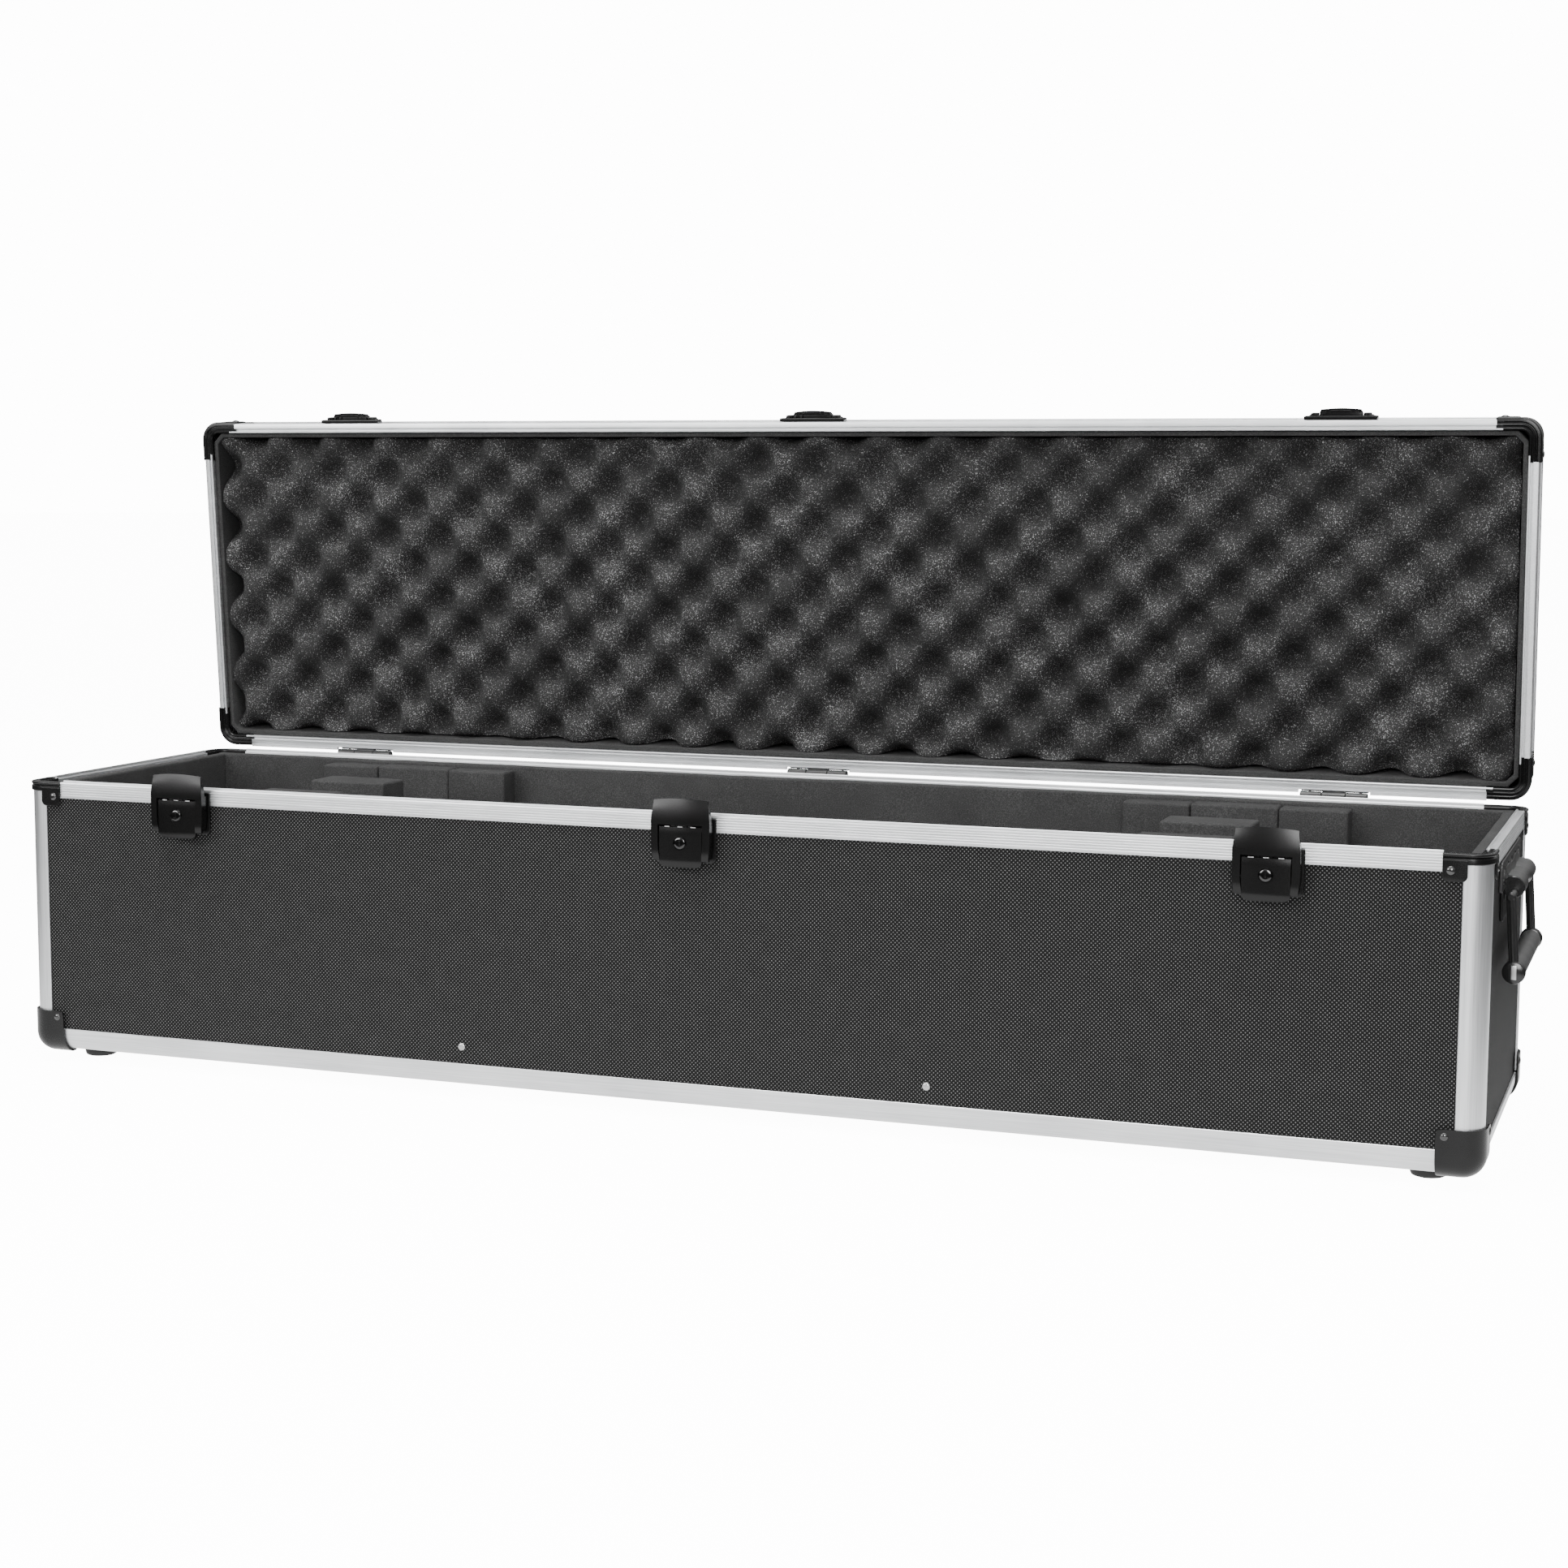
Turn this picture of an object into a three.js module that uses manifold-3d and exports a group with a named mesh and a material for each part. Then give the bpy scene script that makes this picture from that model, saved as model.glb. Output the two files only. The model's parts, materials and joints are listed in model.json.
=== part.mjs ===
// Long carry case for a telescope tube: aluminium-edged base and hinged lid, foam inside.
// Millimetres, +X along the length, -Y to the latches, +Z up, origin under the middle of the whole open case.
import * as THREE from "three";
import { mergeVertices } from "three/addons/utils/BufferGeometryUtils.js";
import { RoundedBoxGeometry } from "three/addons/geometries/RoundedBoxGeometry.js";
import Module from "manifold-3d";

const wasm = await Module();
wasm.setup();

// ---- Driving dimensions ----
const LENGTH = 1280;
const DEPTH = 320;
const BASE_HEIGHT = 245;
const LID_HEIGHT = 60;
const FOOT_HEIGHT = 10;
const GAP = 0.3; // between pieces that touch
const MATING_GAP = 0.4; // between the two rims when the lid is shut
const LID_OPEN_ANGLE = 85.9; // degrees from shut

const PANEL = 5; // wall board
const SKIN = 1.6; // aluminium wall on each side of a board slot
const SLOT = PANEL + 2 * GAP;
const PROFILE = SLOT + 2 * SKIN; // thickness of an edge profile
const EDGE_RADIUS = 16;
const ARC_STEPS = 4; // facets in each quarter turn
const EDGE_LEG = 23; // how far an edge profile reaches along each wall
const SLOT_END = EDGE_RADIUS + 0.5; // where a board slot stops inside an edge profile
const BOARD_INSET = SKIN + GAP;

const RIM_HEIGHT = 14.2;
const RIM_SLOT_TOP = 7;
const RIM_GROOVES = 5;
const GROOVE_DEPTH = 0.5;
const TONGUE = { outer: 5.2, inner: 7, height: 2.5 };
const INNER_LIP = 1.2;

const CORNER_ARM = 36; // reach of a rim corner along each side
const CORNER_PROUD = 1.8;
const CORNER_TAB = { width: 14.7, drop: 7 };
const BALL_CORNER = { reach: 31, height: 37, proud: 2.5, clearance: 1 };

const LINER = 10;
const LINER_FLOOR = 12;
const LINER_DROP = 3; // liner top below the rim top
const DIVIDER = { x: 398, width: 76, top: 239, padWidth: 60, padDepth: 24 };
const DIVIDER_SLOTS = [
  { from: 80, to: 150, bottom: 100 },
  { from: 190, to: 278, bottom: 100 },
];
const LID_FOAM = 50;
const LID_FOAM_CHAMFER = 14;

const FITTING_SPACING = 476; // between neighbouring latches, catches and hinges
const SIDES = { left: -1, middle: 0, right: 1 };

const HINGE = { offset: 5, width: 58, leaf: 13, plate: 1.6, knuckle: 4, pin: 1.6, middle: 21 };

const LATCH = { width: 51.4, top: 10.5, bottom: -37, face: -13.5 };
const FLAP = { width: 37.6, bottom: -42.5, top: -9.4, thickness: 3 };
const FLAP_PIVOT = { y: -7, z: -9 };
const HOOK_PIVOT = { y: -7.5, z: -25 };
const KEY = { radius: 5.6, z: -22.4 };
const PIN_RADIUS = 1.4;
const PIN_CLEARANCE = 0.45;

const CATCH = { base: 57.6, block: 37, height: 10, proud: 10, flange: 2 };

const HANDLE = { flange: 160, flangeTop: -16, flangeBottom: -40, plate: 2.6, backing: 132, backingBottom: -64 };
const BAIL = { pivotOut: 8, pivotZ: -42, gripOut: 12, gripZ: -100, arm: 82, rod: 3, grip: 8, cap: 9 };
const SADDLE = { half: 49, waist: 16, radius: 7.5, waistRadius: 5.6 };

const FOOT = { radius: 14, x: 43, y: 43 };

const BASE_Z = FOOT_HEIGHT;
const RIM_TOP = BASE_Z + BASE_HEIGHT;
const LID_Z = RIM_TOP + MATING_GAP;
const LID_TOP = LID_Z + LID_HEIGHT;
const FOAM_INSET = PROFILE + GAP; // foam inside the profiles
const FOAM_CHAMFER = EDGE_RADIUS - FOAM_INSET;
const FLOOR_FOAM_TOP = BASE_Z + FOAM_INSET + LINER_FLOOR;

// ---- Materials ----
function material(color, roughness, metalness = 0) {
  return new THREE.MeshStandardMaterial({ color, roughness, metalness });
}

const aluminium = material(0xc8cacc, 0.35, 1);
const laminate = material(0x3b3c3e, 0.6);
const blackPlastic = material(0x1b1c1d, 0.4);
const steel = material(0x6f7276, 0.3, 1);
const linerFoam = material(0x3a3a39, 0.95);
const crateFoam = material(0x303031, 1);
const rubber = material(0x151515, 0.8);

// ---- Solids ----
function toSolid(geometry) {
  const bare = geometry.clone();
  bare.deleteAttribute("normal");
  bare.deleteAttribute("uv");
  const merged = mergeVertices(bare, 1e-4);
  return new wasm.Manifold(
    new wasm.Mesh({
      numProp: 3,
      vertProperties: new Float32Array(merged.attributes.position.array),
      triVerts: new Uint32Array(merged.index.array),
    }),
  );
}

function toMesh(name, solid, finish) {
  const made = solid.getMesh();
  const geometry = new THREE.BufferGeometry();
  geometry.setAttribute("position", new THREE.BufferAttribute(made.vertProperties, 3));
  geometry.setIndex(new THREE.BufferAttribute(made.triVerts, 1));
  geometry.computeVertexNormals();
  const mesh = new THREE.Mesh(geometry, finish);
  mesh.name = name;
  return mesh;
}

function box([x0, x1], [y0, y1], [z0, z1]) {
  const geometry = new THREE.BoxGeometry(x1 - x0, y1 - y0, z1 - z0);
  geometry.translate((x0 + x1) / 2, (y0 + y1) / 2, (z0 + z1) / 2);
  return toSolid(geometry);
}

function rodAlongX(radius, [x0, x1], y, z, sides = 12) {
  const geometry = new THREE.CylinderGeometry(radius, radius, x1 - x0, sides);
  geometry.rotateZ(Math.PI / 2);
  geometry.translate((x0 + x1) / 2, y, z);
  return toSolid(geometry);
}

function rodAlongY(radius, [y0, y1], x, z, sides = 12) {
  const geometry = new THREE.CylinderGeometry(radius, radius, y1 - y0, sides);
  geometry.translate(x, (y0 + y1) / 2, z);
  return toSolid(geometry);
}

// A plan outline (list of [x, y]) raised from z0 to z1.
function post(outline, [z0, z1]) {
  const shape = new THREE.Shape(outline.map(([x, y]) => new THREE.Vector2(x, y)));
  const geometry = new THREE.ExtrudeGeometry(shape, { depth: z1 - z0, bevelEnabled: false });
  geometry.translate(0, 0, z0);
  return toSolid(geometry);
}

// An outline in the YZ plane (list of [y, z]) drawn out along X.
function beam(outline, [x0, x1]) {
  const shape = new THREE.Shape(outline.map(([y, z]) => new THREE.Vector2(y, z)));
  const geometry = new THREE.ExtrudeGeometry(shape, { depth: x1 - x0, bevelEnabled: false });
  geometry.rotateX(Math.PI / 2);
  geometry.rotateZ(Math.PI / 2);
  geometry.translate(x0, 0, 0);
  return toSolid(geometry);
}

// The case's outer form, grown by `proud`, with every edge rounded.
function roundedHull(proud, [z0, z1]) {
  const size = [LENGTH + 2 * proud, DEPTH + 2 * proud, z1 - z0 + 2 * proud];
  const geometry = new RoundedBoxGeometry(...size, ARC_STEPS / 2, EDGE_RADIUS + proud);
  geometry.translate(0, DEPTH / 2, (z0 + z1) / 2);
  return toSolid(geometry);
}

// The plan outline of foam that fills the profiles, each corner cut off by `chamfer`.
function chamferedOutline(chamfer) {
  const x = LENGTH / 2 - FOAM_INSET;
  const [y0, y1] = [FOAM_INSET, DEPTH - FOAM_INSET];
  return [
    [x, y1 - chamfer],
    [x - chamfer, y1],
    [-x + chamfer, y1],
    [-x, y1 - chamfer],
    [-x, y0 + chamfer],
    [-x + chamfer, y0],
    [x - chamfer, y0],
    [x, y0 + chamfer],
  ];
}

// Points [x, y] of a quarter turn about the origin, from +X round to +Y.
function quarter(radius) {
  return Array.from({ length: ARC_STEPS + 1 }, (_, step) => {
    const angle = (step / ARC_STEPS) * (Math.PI / 2);
    return [radius * Math.cos(angle), radius * Math.sin(angle)];
  });
}

// Points of the case's rounded plan outline, moved in by `inset`.
function planOutline(inset) {
  const radius = Math.max(EDGE_RADIUS - inset, 0.5);
  const x = LENGTH / 2 - inset - radius;
  const y = DEPTH / 2 - inset - radius;
  const centres = [[x, y], [-x, y], [-x, -y], [x, -y]];
  return centres.flatMap(([cx, cy], corner) =>
    quarter(radius).map(([px, py]) => {
      const turned = [[px, py], [-py, px], [-px, -py], [py, -px]][corner];
      return [cx + turned[0], DEPTH / 2 + cy + turned[1]];
    }),
  );
}

// A closed frame round the case: a section of [inset, z] points carried round the plan outline.
function frame(section) {
  const rings = section.map(([inset, z]) => planOutline(inset).map(([x, y]) => [x, y, z]));
  const count = rings[0].length;
  const positions = rings.flat(2);
  const index = [];
  rings.forEach((_, i) => {
    const next = (i + 1) % rings.length;
    for (let j = 0; j < count; j++) {
      const turn = (j + 1) % count;
      const a = i * count + j;
      const b = i * count + turn;
      const c = next * count + turn;
      const d = next * count + j;
      index.push(a, c, b, a, d, c);
    }
  });
  const geometry = new THREE.BufferGeometry();
  geometry.setAttribute("position", new THREE.Float32BufferAttribute(positions, 3));
  geometry.setIndex(index);
  return toSolid(geometry);
}

function joined(solids) {
  return solids.reduce((sum, solid) => sum.add(solid));
}

// Mirrors a solid made for the left end across the case's middle.
function mirrored(solid, side) {
  return side < 0 ? solid : solid.mirror([1, 0, 0]);
}

function cornerBlock(side, rear, reach, [z0, z1]) {
  const margin = 10;
  const x = side < 0 ? [-LENGTH / 2 - margin, -LENGTH / 2 + reach] : [LENGTH / 2 - reach, LENGTH / 2 + margin];
  const y = rear ? [DEPTH - reach, DEPTH + margin] : [-margin, reach];
  return box(x, y, [z0, z1]);
}

const CORNERS = [
  ["front_left", -1, false],
  ["front_right", 1, false],
  ["rear_left", -1, true],
  ["rear_right", 1, true],
];

// ---- Sections of the aluminium profiles ----
// Edge profile: rounded outside, a slot for the wall and a slot for the floor. `up` is +1 under the base, -1 on the lid.
function edgeSection(z, up) {
  const arc = quarter(EDGE_RADIUS).map(([px, py]) => [EDGE_RADIUS - px, EDGE_RADIUS - py]);
  const points = [
    [0, EDGE_LEG],
    ...arc,
    [EDGE_LEG, 0],
    [EDGE_LEG, SKIN],
    [SLOT_END, SKIN],
    [SLOT_END, SKIN + SLOT],
    [EDGE_LEG, SKIN + SLOT],
    [EDGE_LEG, PROFILE],
    [PROFILE, PROFILE],
    [PROFILE, EDGE_LEG],
    [SKIN + SLOT, EDGE_LEG],
    [SKIN + SLOT, SLOT_END],
    [SKIN, SLOT_END],
    [SKIN, EDGE_LEG],
  ].map(([inset, height]) => [inset, z + up * height]);
  return up > 0 ? points : points.reverse();
}

// Fine grooves along a rim's outer face, from the mating edge to the board edge.
function groovedFace() {
  const first = 2.4;
  const pitch = 2.2;
  const half = 0.45;
  const face = [[0.4, 0], [0, 0.4]];
  for (let i = 0; i < RIM_GROOVES; i++) {
    const height = first + i * pitch;
    face.push([0, height - half], [GROOVE_DEPTH, height], [0, height + half]);
  }
  return face;
}

// The board side of a rim: its slot, and its inner wall.
const RIM_SOCKET = [
  [0, RIM_HEIGHT],
  [SKIN, RIM_HEIGHT],
  [SKIN, RIM_SLOT_TOP],
  [SKIN + SLOT, RIM_SLOT_TOP],
  [SKIN + SLOT, RIM_HEIGHT],
  [PROFILE, RIM_HEIGHT],
];

function baseRimSection() {
  const mating = [
    [PROFILE, 1.5],
    [TONGUE.inner, 1.5],
    [TONGUE.inner, -TONGUE.height],
    [TONGUE.outer, -TONGUE.height],
    [TONGUE.outer, 0],
  ];
  return [...groovedFace(), ...RIM_SOCKET, ...mating].map(([inset, below]) => [inset, RIM_TOP - below]);
}

function lidRimSection() {
  const mating = [
    [PROFILE, -INNER_LIP],
    [TONGUE.inner + 0.4, -INNER_LIP],
    [TONGUE.inner + 0.4, 3],
    [TONGUE.outer - 0.4, 3],
    [TONGUE.outer - 0.4, 0],
  ];
  return [...groovedFace(), ...RIM_SOCKET, ...mating].map(([inset, above]) => [inset, LID_Z + above]).reverse();
}

// ---- Rims and their corner pieces ----
function rimRing(section, [low, high]) {
  const outerPart = frame([[-5, high], [-5, low], [SKIN + SLOT, low], [SKIN + SLOT, high]]);
  const blocks = CORNERS.map(([, side, rear]) => cornerBlock(side, rear, CORNER_ARM, [low, high]));
  return frame(section).subtract(outerPart.intersect(joined(blocks)));
}

// A rim corner: a band round the corner, and a riveted tab on each face. `down` is +1 on the base, -1 on the lid.
function rimCorner(side, rear, mating, down) {
  const inner = SKIN + SLOT - GAP;
  const rounding = 1.2;
  const at = (depth) => mating - down * depth;
  const section = [
    [-CORNER_PROUD + rounding, at(0)],
    [-CORNER_PROUD, at(rounding)],
    [-CORNER_PROUD, at(RIM_HEIGHT)],
    [SKIN, at(RIM_HEIGHT)],
    [SKIN, at(RIM_SLOT_TOP - GAP)],
    [inner, at(RIM_SLOT_TOP - GAP)],
    [inner, at(0)],
  ];
  const reach = CORNER_ARM - GAP;
  const span = [mating - 2 * RIM_HEIGHT, mating + 2 * RIM_HEIGHT];
  const band = frame(down > 0 ? section : section.reverse()).intersect(cornerBlock(side, rear, reach, span));
  const tabDepth = [RIM_HEIGHT - 4, RIM_HEIGHT + CORNER_TAB.drop].map(at).sort((a, b) => a - b);
  const along = [reach - CORNER_TAB.width, reach];
  const across = [-CORNER_PROUD, -GAP];
  const fromEnd = ([a, b]) => (side < 0 ? [-LENGTH / 2 + a, -LENGTH / 2 + b] : [LENGTH / 2 - b, LENGTH / 2 - a]);
  const fromFace = ([a, b]) => (rear ? [DEPTH - b, DEPTH - a] : [a, b]);
  return joined([
    band,
    box(fromEnd(along), fromFace(across), tabDepth),
    box(fromEnd(across), fromFace(along), tabDepth),
  ]);
}

// ---- Base ----
function cornerPost(side, rear) {
  const arc = quarter(EDGE_RADIUS).map(([px, py]) => [EDGE_RADIUS - py, EDGE_RADIUS - px]);
  const outline = [
    [EDGE_LEG, 0],
    ...arc,
    [0, EDGE_LEG],
    [SKIN, EDGE_LEG],
    [SKIN, SLOT_END],
    [SKIN + SLOT, SLOT_END],
    [SKIN + SLOT, EDGE_LEG],
    [PROFILE, EDGE_LEG],
    [PROFILE, PROFILE],
    [EDGE_LEG, PROFILE],
    [EDGE_LEG, SKIN + SLOT],
    [SLOT_END, SKIN + SLOT],
    [SLOT_END, SKIN],
    [EDGE_LEG, SKIN],
  ].map(([x, y]) => [side * (LENGTH / 2 - x), rear ? DEPTH - y : y]);
  return post(outline, [BASE_Z + EDGE_LEG + GAP, RIM_TOP - RIM_HEIGHT - GAP]);
}

function ballCorner(side, rear, body, low, high) {
  const { reach, proud, clearance } = BALL_CORNER;
  const shell = roundedHull(proud, body).subtract(roundedHull(clearance, body));
  return shell.intersect(cornerBlock(side, rear, reach, [low, high]));
}

function foot(side, rear) {
  const chamfer = 1.5;
  const bore = 4;
  const top = FOOT_HEIGHT - GAP;
  const profile = [
    [0, bore],
    [5, bore],
    [5, 0],
    [FOOT.radius - chamfer, 0],
    [FOOT.radius, chamfer],
    [FOOT.radius + 1, top],
    [0, top],
  ].map(([r, z]) => new THREE.Vector2(r, z));
  const geometry = new THREE.LatheGeometry(profile, 20);
  geometry.rotateX(Math.PI / 2);
  geometry.translate(side * (LENGTH / 2 - FOOT.x), rear ? DEPTH - FOOT.y : FOOT.y, 0);
  return toSolid(geometry);
}

function floorFoam() {
  return post(chamferedOutline(FOAM_CHAMFER), [BASE_Z + FOAM_INSET, FLOOR_FOAM_TOP]);
}

function wallFoam() {
  const outer = post(chamferedOutline(FOAM_CHAMFER), [FLOOR_FOAM_TOP + GAP, RIM_TOP - LINER_DROP]);
  const wall = FOAM_INSET + LINER;
  const room = box([-LENGTH / 2 + wall, LENGTH / 2 - wall], [wall, DEPTH - wall], [BASE_Z, RIM_TOP]);
  return outer.subtract(room);
}

// A foam cross-piece with two round-bottomed slots, and a pad on each side of it against the rear wall.
function foamDivider(side) {
  const wall = FOAM_INSET + LINER + GAP;
  const floor = FLOOR_FOAM_TOP + GAP;
  const top = BASE_Z + DIVIDER.top;
  const x = [side * DIVIDER.x - DIVIDER.width / 2, side * DIVIDER.x + DIVIDER.width / 2];
  const pads = [x[0] - DIVIDER.padWidth, x[1] + DIVIDER.padWidth];
  const body = joined([
    box(x, [wall, DEPTH - wall], [floor, top]),
    box(pads, [DEPTH - wall - DIVIDER.padDepth, DEPTH - wall], [floor, top]),
  ]);
  const cuts = DIVIDER_SLOTS.map(({ from, to, bottom }) => {
    const radius = (to - from) / 2;
    const span = [x[0] - 1, x[1] + 1];
    return joined([
      rodAlongX(radius, span, (from + to) / 2, BASE_Z + bottom + radius, 24),
      box(span, [from, to], [BASE_Z + bottom + radius, top + 1]),
    ]);
  });
  return body.subtract(joined(cuts));
}

function addBase(group) {
  const wall = [BASE_Z + SLOT_END + GAP, RIM_TOP - RIM_SLOT_TOP - GAP];
  const end = SLOT_END + GAP;
  const board = [BOARD_INSET, BOARD_INSET + PANEL];
  const alongX = [-LENGTH / 2 + end, LENGTH / 2 - end];
  const alongY = [end, DEPTH - end];
  group.add(toMesh("front_panel", box(alongX, board, wall), laminate));
  group.add(toMesh("rear_panel", box(alongX, board.map((v) => DEPTH - v).reverse(), wall), laminate));
  group.add(toMesh("left_end_panel", box(board.map((v) => v - LENGTH / 2), alongY, wall), laminate));
  group.add(toMesh("right_end_panel", box(board.map((v) => LENGTH / 2 - v).reverse(), alongY, wall), laminate));
  group.add(toMesh("floor_panel", box(alongX, alongY, board.map((v) => BASE_Z + v)), laminate));
  group.add(toMesh("bottom_edge_frame", frame(edgeSection(BASE_Z, 1)), aluminium));
  group.add(toMesh("base_rim", rimRing(baseRimSection(), [RIM_TOP - 20, RIM_TOP + 5]), aluminium));
  group.add(toMesh("base_floor_foam", floorFoam(), linerFoam));
  group.add(toMesh("base_wall_foam", wallFoam(), linerFoam));
  for (const [place, side, rear] of CORNERS) {
    const body = [BASE_Z, LID_TOP];
    const top = BASE_Z + BALL_CORNER.height;
    group.add(toMesh(`corner_post_${place}`, cornerPost(side, rear), aluminium));
    group.add(toMesh(`base_rim_corner_${place}`, rimCorner(side, rear, RIM_TOP, 1), blackPlastic));
    group.add(toMesh(`bottom_corner_${place}`, ballCorner(side, rear, body, BASE_Z - 5, top), blackPlastic));
    group.add(toMesh(`foot_${place}`, foot(side, rear), rubber));
  }
  group.add(toMesh("foam_divider_left", foamDivider(-1), linerFoam));
  group.add(toMesh("foam_divider_right", foamDivider(1), linerFoam));
}

// ---- Hinges ----
// Heights and offsets are measured from the hinge pin. `up` is +1 for the lid's leaf, -1 for the base's.
function hingeLeaf(x, up) {
  const pinY = DEPTH + HINGE.offset;
  const half = HINGE.width / 2;
  const middle = HINGE.middle / 2;
  const plateY = [DEPTH + GAP, DEPTH + GAP + HINGE.plate];
  const clear = HINGE.knuckle + 1;
  const band = (near, far) => [RIM_TOP + up * near, RIM_TOP + up * far].sort((a, b) => a - b);
  const plate = box([x - half, x + half], plateY, band(clear, HINGE.leaf));
  const barrel = (x0, x1) => rodAlongX(HINGE.knuckle, [x0, x1], pinY, RIM_TOP, 16);
  const web = (x0, x1) => box([x0, x1], plateY, band(0.5, clear + 1));
  if (up > 0) {
    const span = [x - middle + GAP, x + middle - GAP];
    const bore = rodAlongX(HINGE.pin + PIN_CLEARANCE, [x - half, x + half], pinY, RIM_TOP);
    return joined([plate, web(...span), barrel(...span)]).subtract(bore);
  }
  const pin = rodAlongX(HINGE.pin, [x - half, x + half], pinY, RIM_TOP);
  const sides = [[x - half, x - middle], [x + middle, x + half]];
  return joined([plate, pin, ...sides.map((span) => web(...span)), ...sides.map((span) => barrel(...span))]);
}

// ---- Latches, in their own frame: x from the latch's middle, y from the case's front, z from the rim top ----
function latchPlate() {
  const half = LATCH.width / 2;
  const back = box([-half, half], [-3, -GAP], [LATCH.bottom, -4]);
  const ear = joined([
    box([-5, 5], [FLAP_PIVOT.y, -2], [FLAP_PIVOT.z - 2.6, FLAP_PIVOT.z + 2.6]),
    rodAlongX(2.6, [-5, 5], FLAP_PIVOT.y, FLAP_PIVOT.z),
  ]);
  const bore = rodAlongX(PIN_RADIUS + PIN_CLEARANCE, [-6, 6], FLAP_PIVOT.y, FLAP_PIVOT.z);
  return joined([back, ear]).subtract(bore);
}

function latchFlap() {
  const half = FLAP.width / 2;
  const outer = LATCH.face + 0.5;
  const inner = outer + FLAP.thickness;
  const crown = 0.8;
  const face = beam(
    [
      [outer + crown, FLAP.top],
      [inner, FLAP.top],
      [inner, FLAP.bottom + 1],
      [outer + 1.2, FLAP.bottom],
      [outer, FLAP.bottom + 2],
      [outer, FLAP.top - 5],
    ],
    [-half, half],
  );
  const ears = [[-9.5, -5.4], [5.4, 9.5]].map((span) =>
    joined([
      rodAlongX(2.4, span, FLAP_PIVOT.y, FLAP_PIVOT.z),
      box(span, [inner - 1, FLAP_PIVOT.y], [FLAP_PIVOT.z - 2.4, FLAP_PIVOT.z - 0.4]),
    ]),
  );
  const lugs = [[-17.5, -12.5], [12.5, 17.5]].map((span) =>
    box(span, [inner - 1, HOOK_PIVOT.y + 2], [HOOK_PIVOT.z - 2.4, HOOK_PIVOT.z + 2.4]),
  );
  const stubs = [[-24.5, -13], [13, 24.5]].map((span) => rodAlongX(PIN_RADIUS, span, HOOK_PIVOT.y, HOOK_PIVOT.z));
  const hingePin = rodAlongX(PIN_RADIUS, [-9, 9], FLAP_PIVOT.y, FLAP_PIVOT.z);
  const keyHole = rodAlongY(KEY.radius + GAP, [outer - 5, inner + 1], 0, KEY.z, 20);
  return joined([face, ...ears, ...lugs, ...stubs, hingePin]).subtract(keyHole);
}

function latchHook() {
  const half = LATCH.width / 2;
  const window = FLAP.width / 2 + 0.6;
  const top = box([-half, half], [LATCH.face, LATCH.face + 2.9], [FLAP.top + 1.8, LATCH.top]);
  const legs = [[-half, -window], [window, half]].map((span) =>
    beam(
      [
        [LATCH.face + 2.9, LATCH.top - 1],
        [LATCH.face, LATCH.top - 1],
        [LATCH.face, LATCH.bottom + 3],
        [LATCH.face + 2, LATCH.bottom],
        [-5, LATCH.bottom + 2],
        [-4, HOOK_PIVOT.z - 4],
        [-4, HOOK_PIVOT.z + 4],
        [LATCH.face + 2.9, FLAP.top - 2],
      ],
      span,
    ),
  );
  const bore = rodAlongX(PIN_RADIUS + PIN_CLEARANCE, [-half - 1, half + 1], HOOK_PIVOT.y, HOOK_PIVOT.z);
  return joined([top, ...legs]).subtract(bore);
}

function latchKey() {
  const front = LATCH.face - 0.4;
  const barrel = rodAlongY(KEY.radius, [front, LATCH.face + 5.5], 0, KEY.z, 20);
  const keyway = box([-0.8, 0.8], [front - 1, front + 2.5], [KEY.z - 3, KEY.z + 3]);
  return barrel.subtract(keyway);
}

function addLatch(group, place, x) {
  const latch = new THREE.Group();
  latch.position.set(x, 0, RIM_TOP);
  latch.add(toMesh(`latch_plate_${place}`, latchPlate(), blackPlastic));
  latch.add(toMesh(`latch_flap_${place}`, latchFlap(), blackPlastic));
  latch.add(toMesh(`latch_hook_${place}`, latchHook(), blackPlastic));
  latch.add(toMesh(`key_cylinder_${place}`, latchKey(), blackPlastic));
  group.add(latch);
}

// ---- End handles, made for the left end ----
function handleMount() {
  const face = -LENGTH / 2 + BOARD_INSET - GAP;
  const outer = face - HANDLE.plate;
  const pivotX = -LENGTH / 2 - BAIL.pivotOut;
  const pivotZ = RIM_TOP + BAIL.pivotZ;
  const middle = DEPTH / 2;
  const across = (half) => [middle - half, middle + half];
  const plates = [
    box([outer, face], across(HANDLE.flange / 2), [RIM_TOP + HANDLE.flangeBottom, RIM_TOP + HANDLE.flangeTop]),
    box([outer, face], across(HANDLE.backing / 2), [RIM_TOP + HANDLE.backingBottom, RIM_TOP + HANDLE.flangeTop]),
  ];
  const bulges = [
    [middle - SADDLE.half, middle - SADDLE.waist],
    [middle + SADDLE.waist, middle + SADDLE.half],
  ].map((span) => rodAlongY(SADDLE.radius, span, pivotX, pivotZ, 16));
  const waist = rodAlongY(SADDLE.waistRadius, across(SADDLE.waist + 1), pivotX, pivotZ, 16);
  const web = box([pivotX, outer + 1], across(SADDLE.half), [pivotZ - 4.8, pivotZ + 4.8]);
  const bore = rodAlongY(BAIL.rod + 0.4, across(SADDLE.half + 1), pivotX, pivotZ);
  return joined([...plates, ...bulges, waist, web]).subtract(bore);
}

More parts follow.
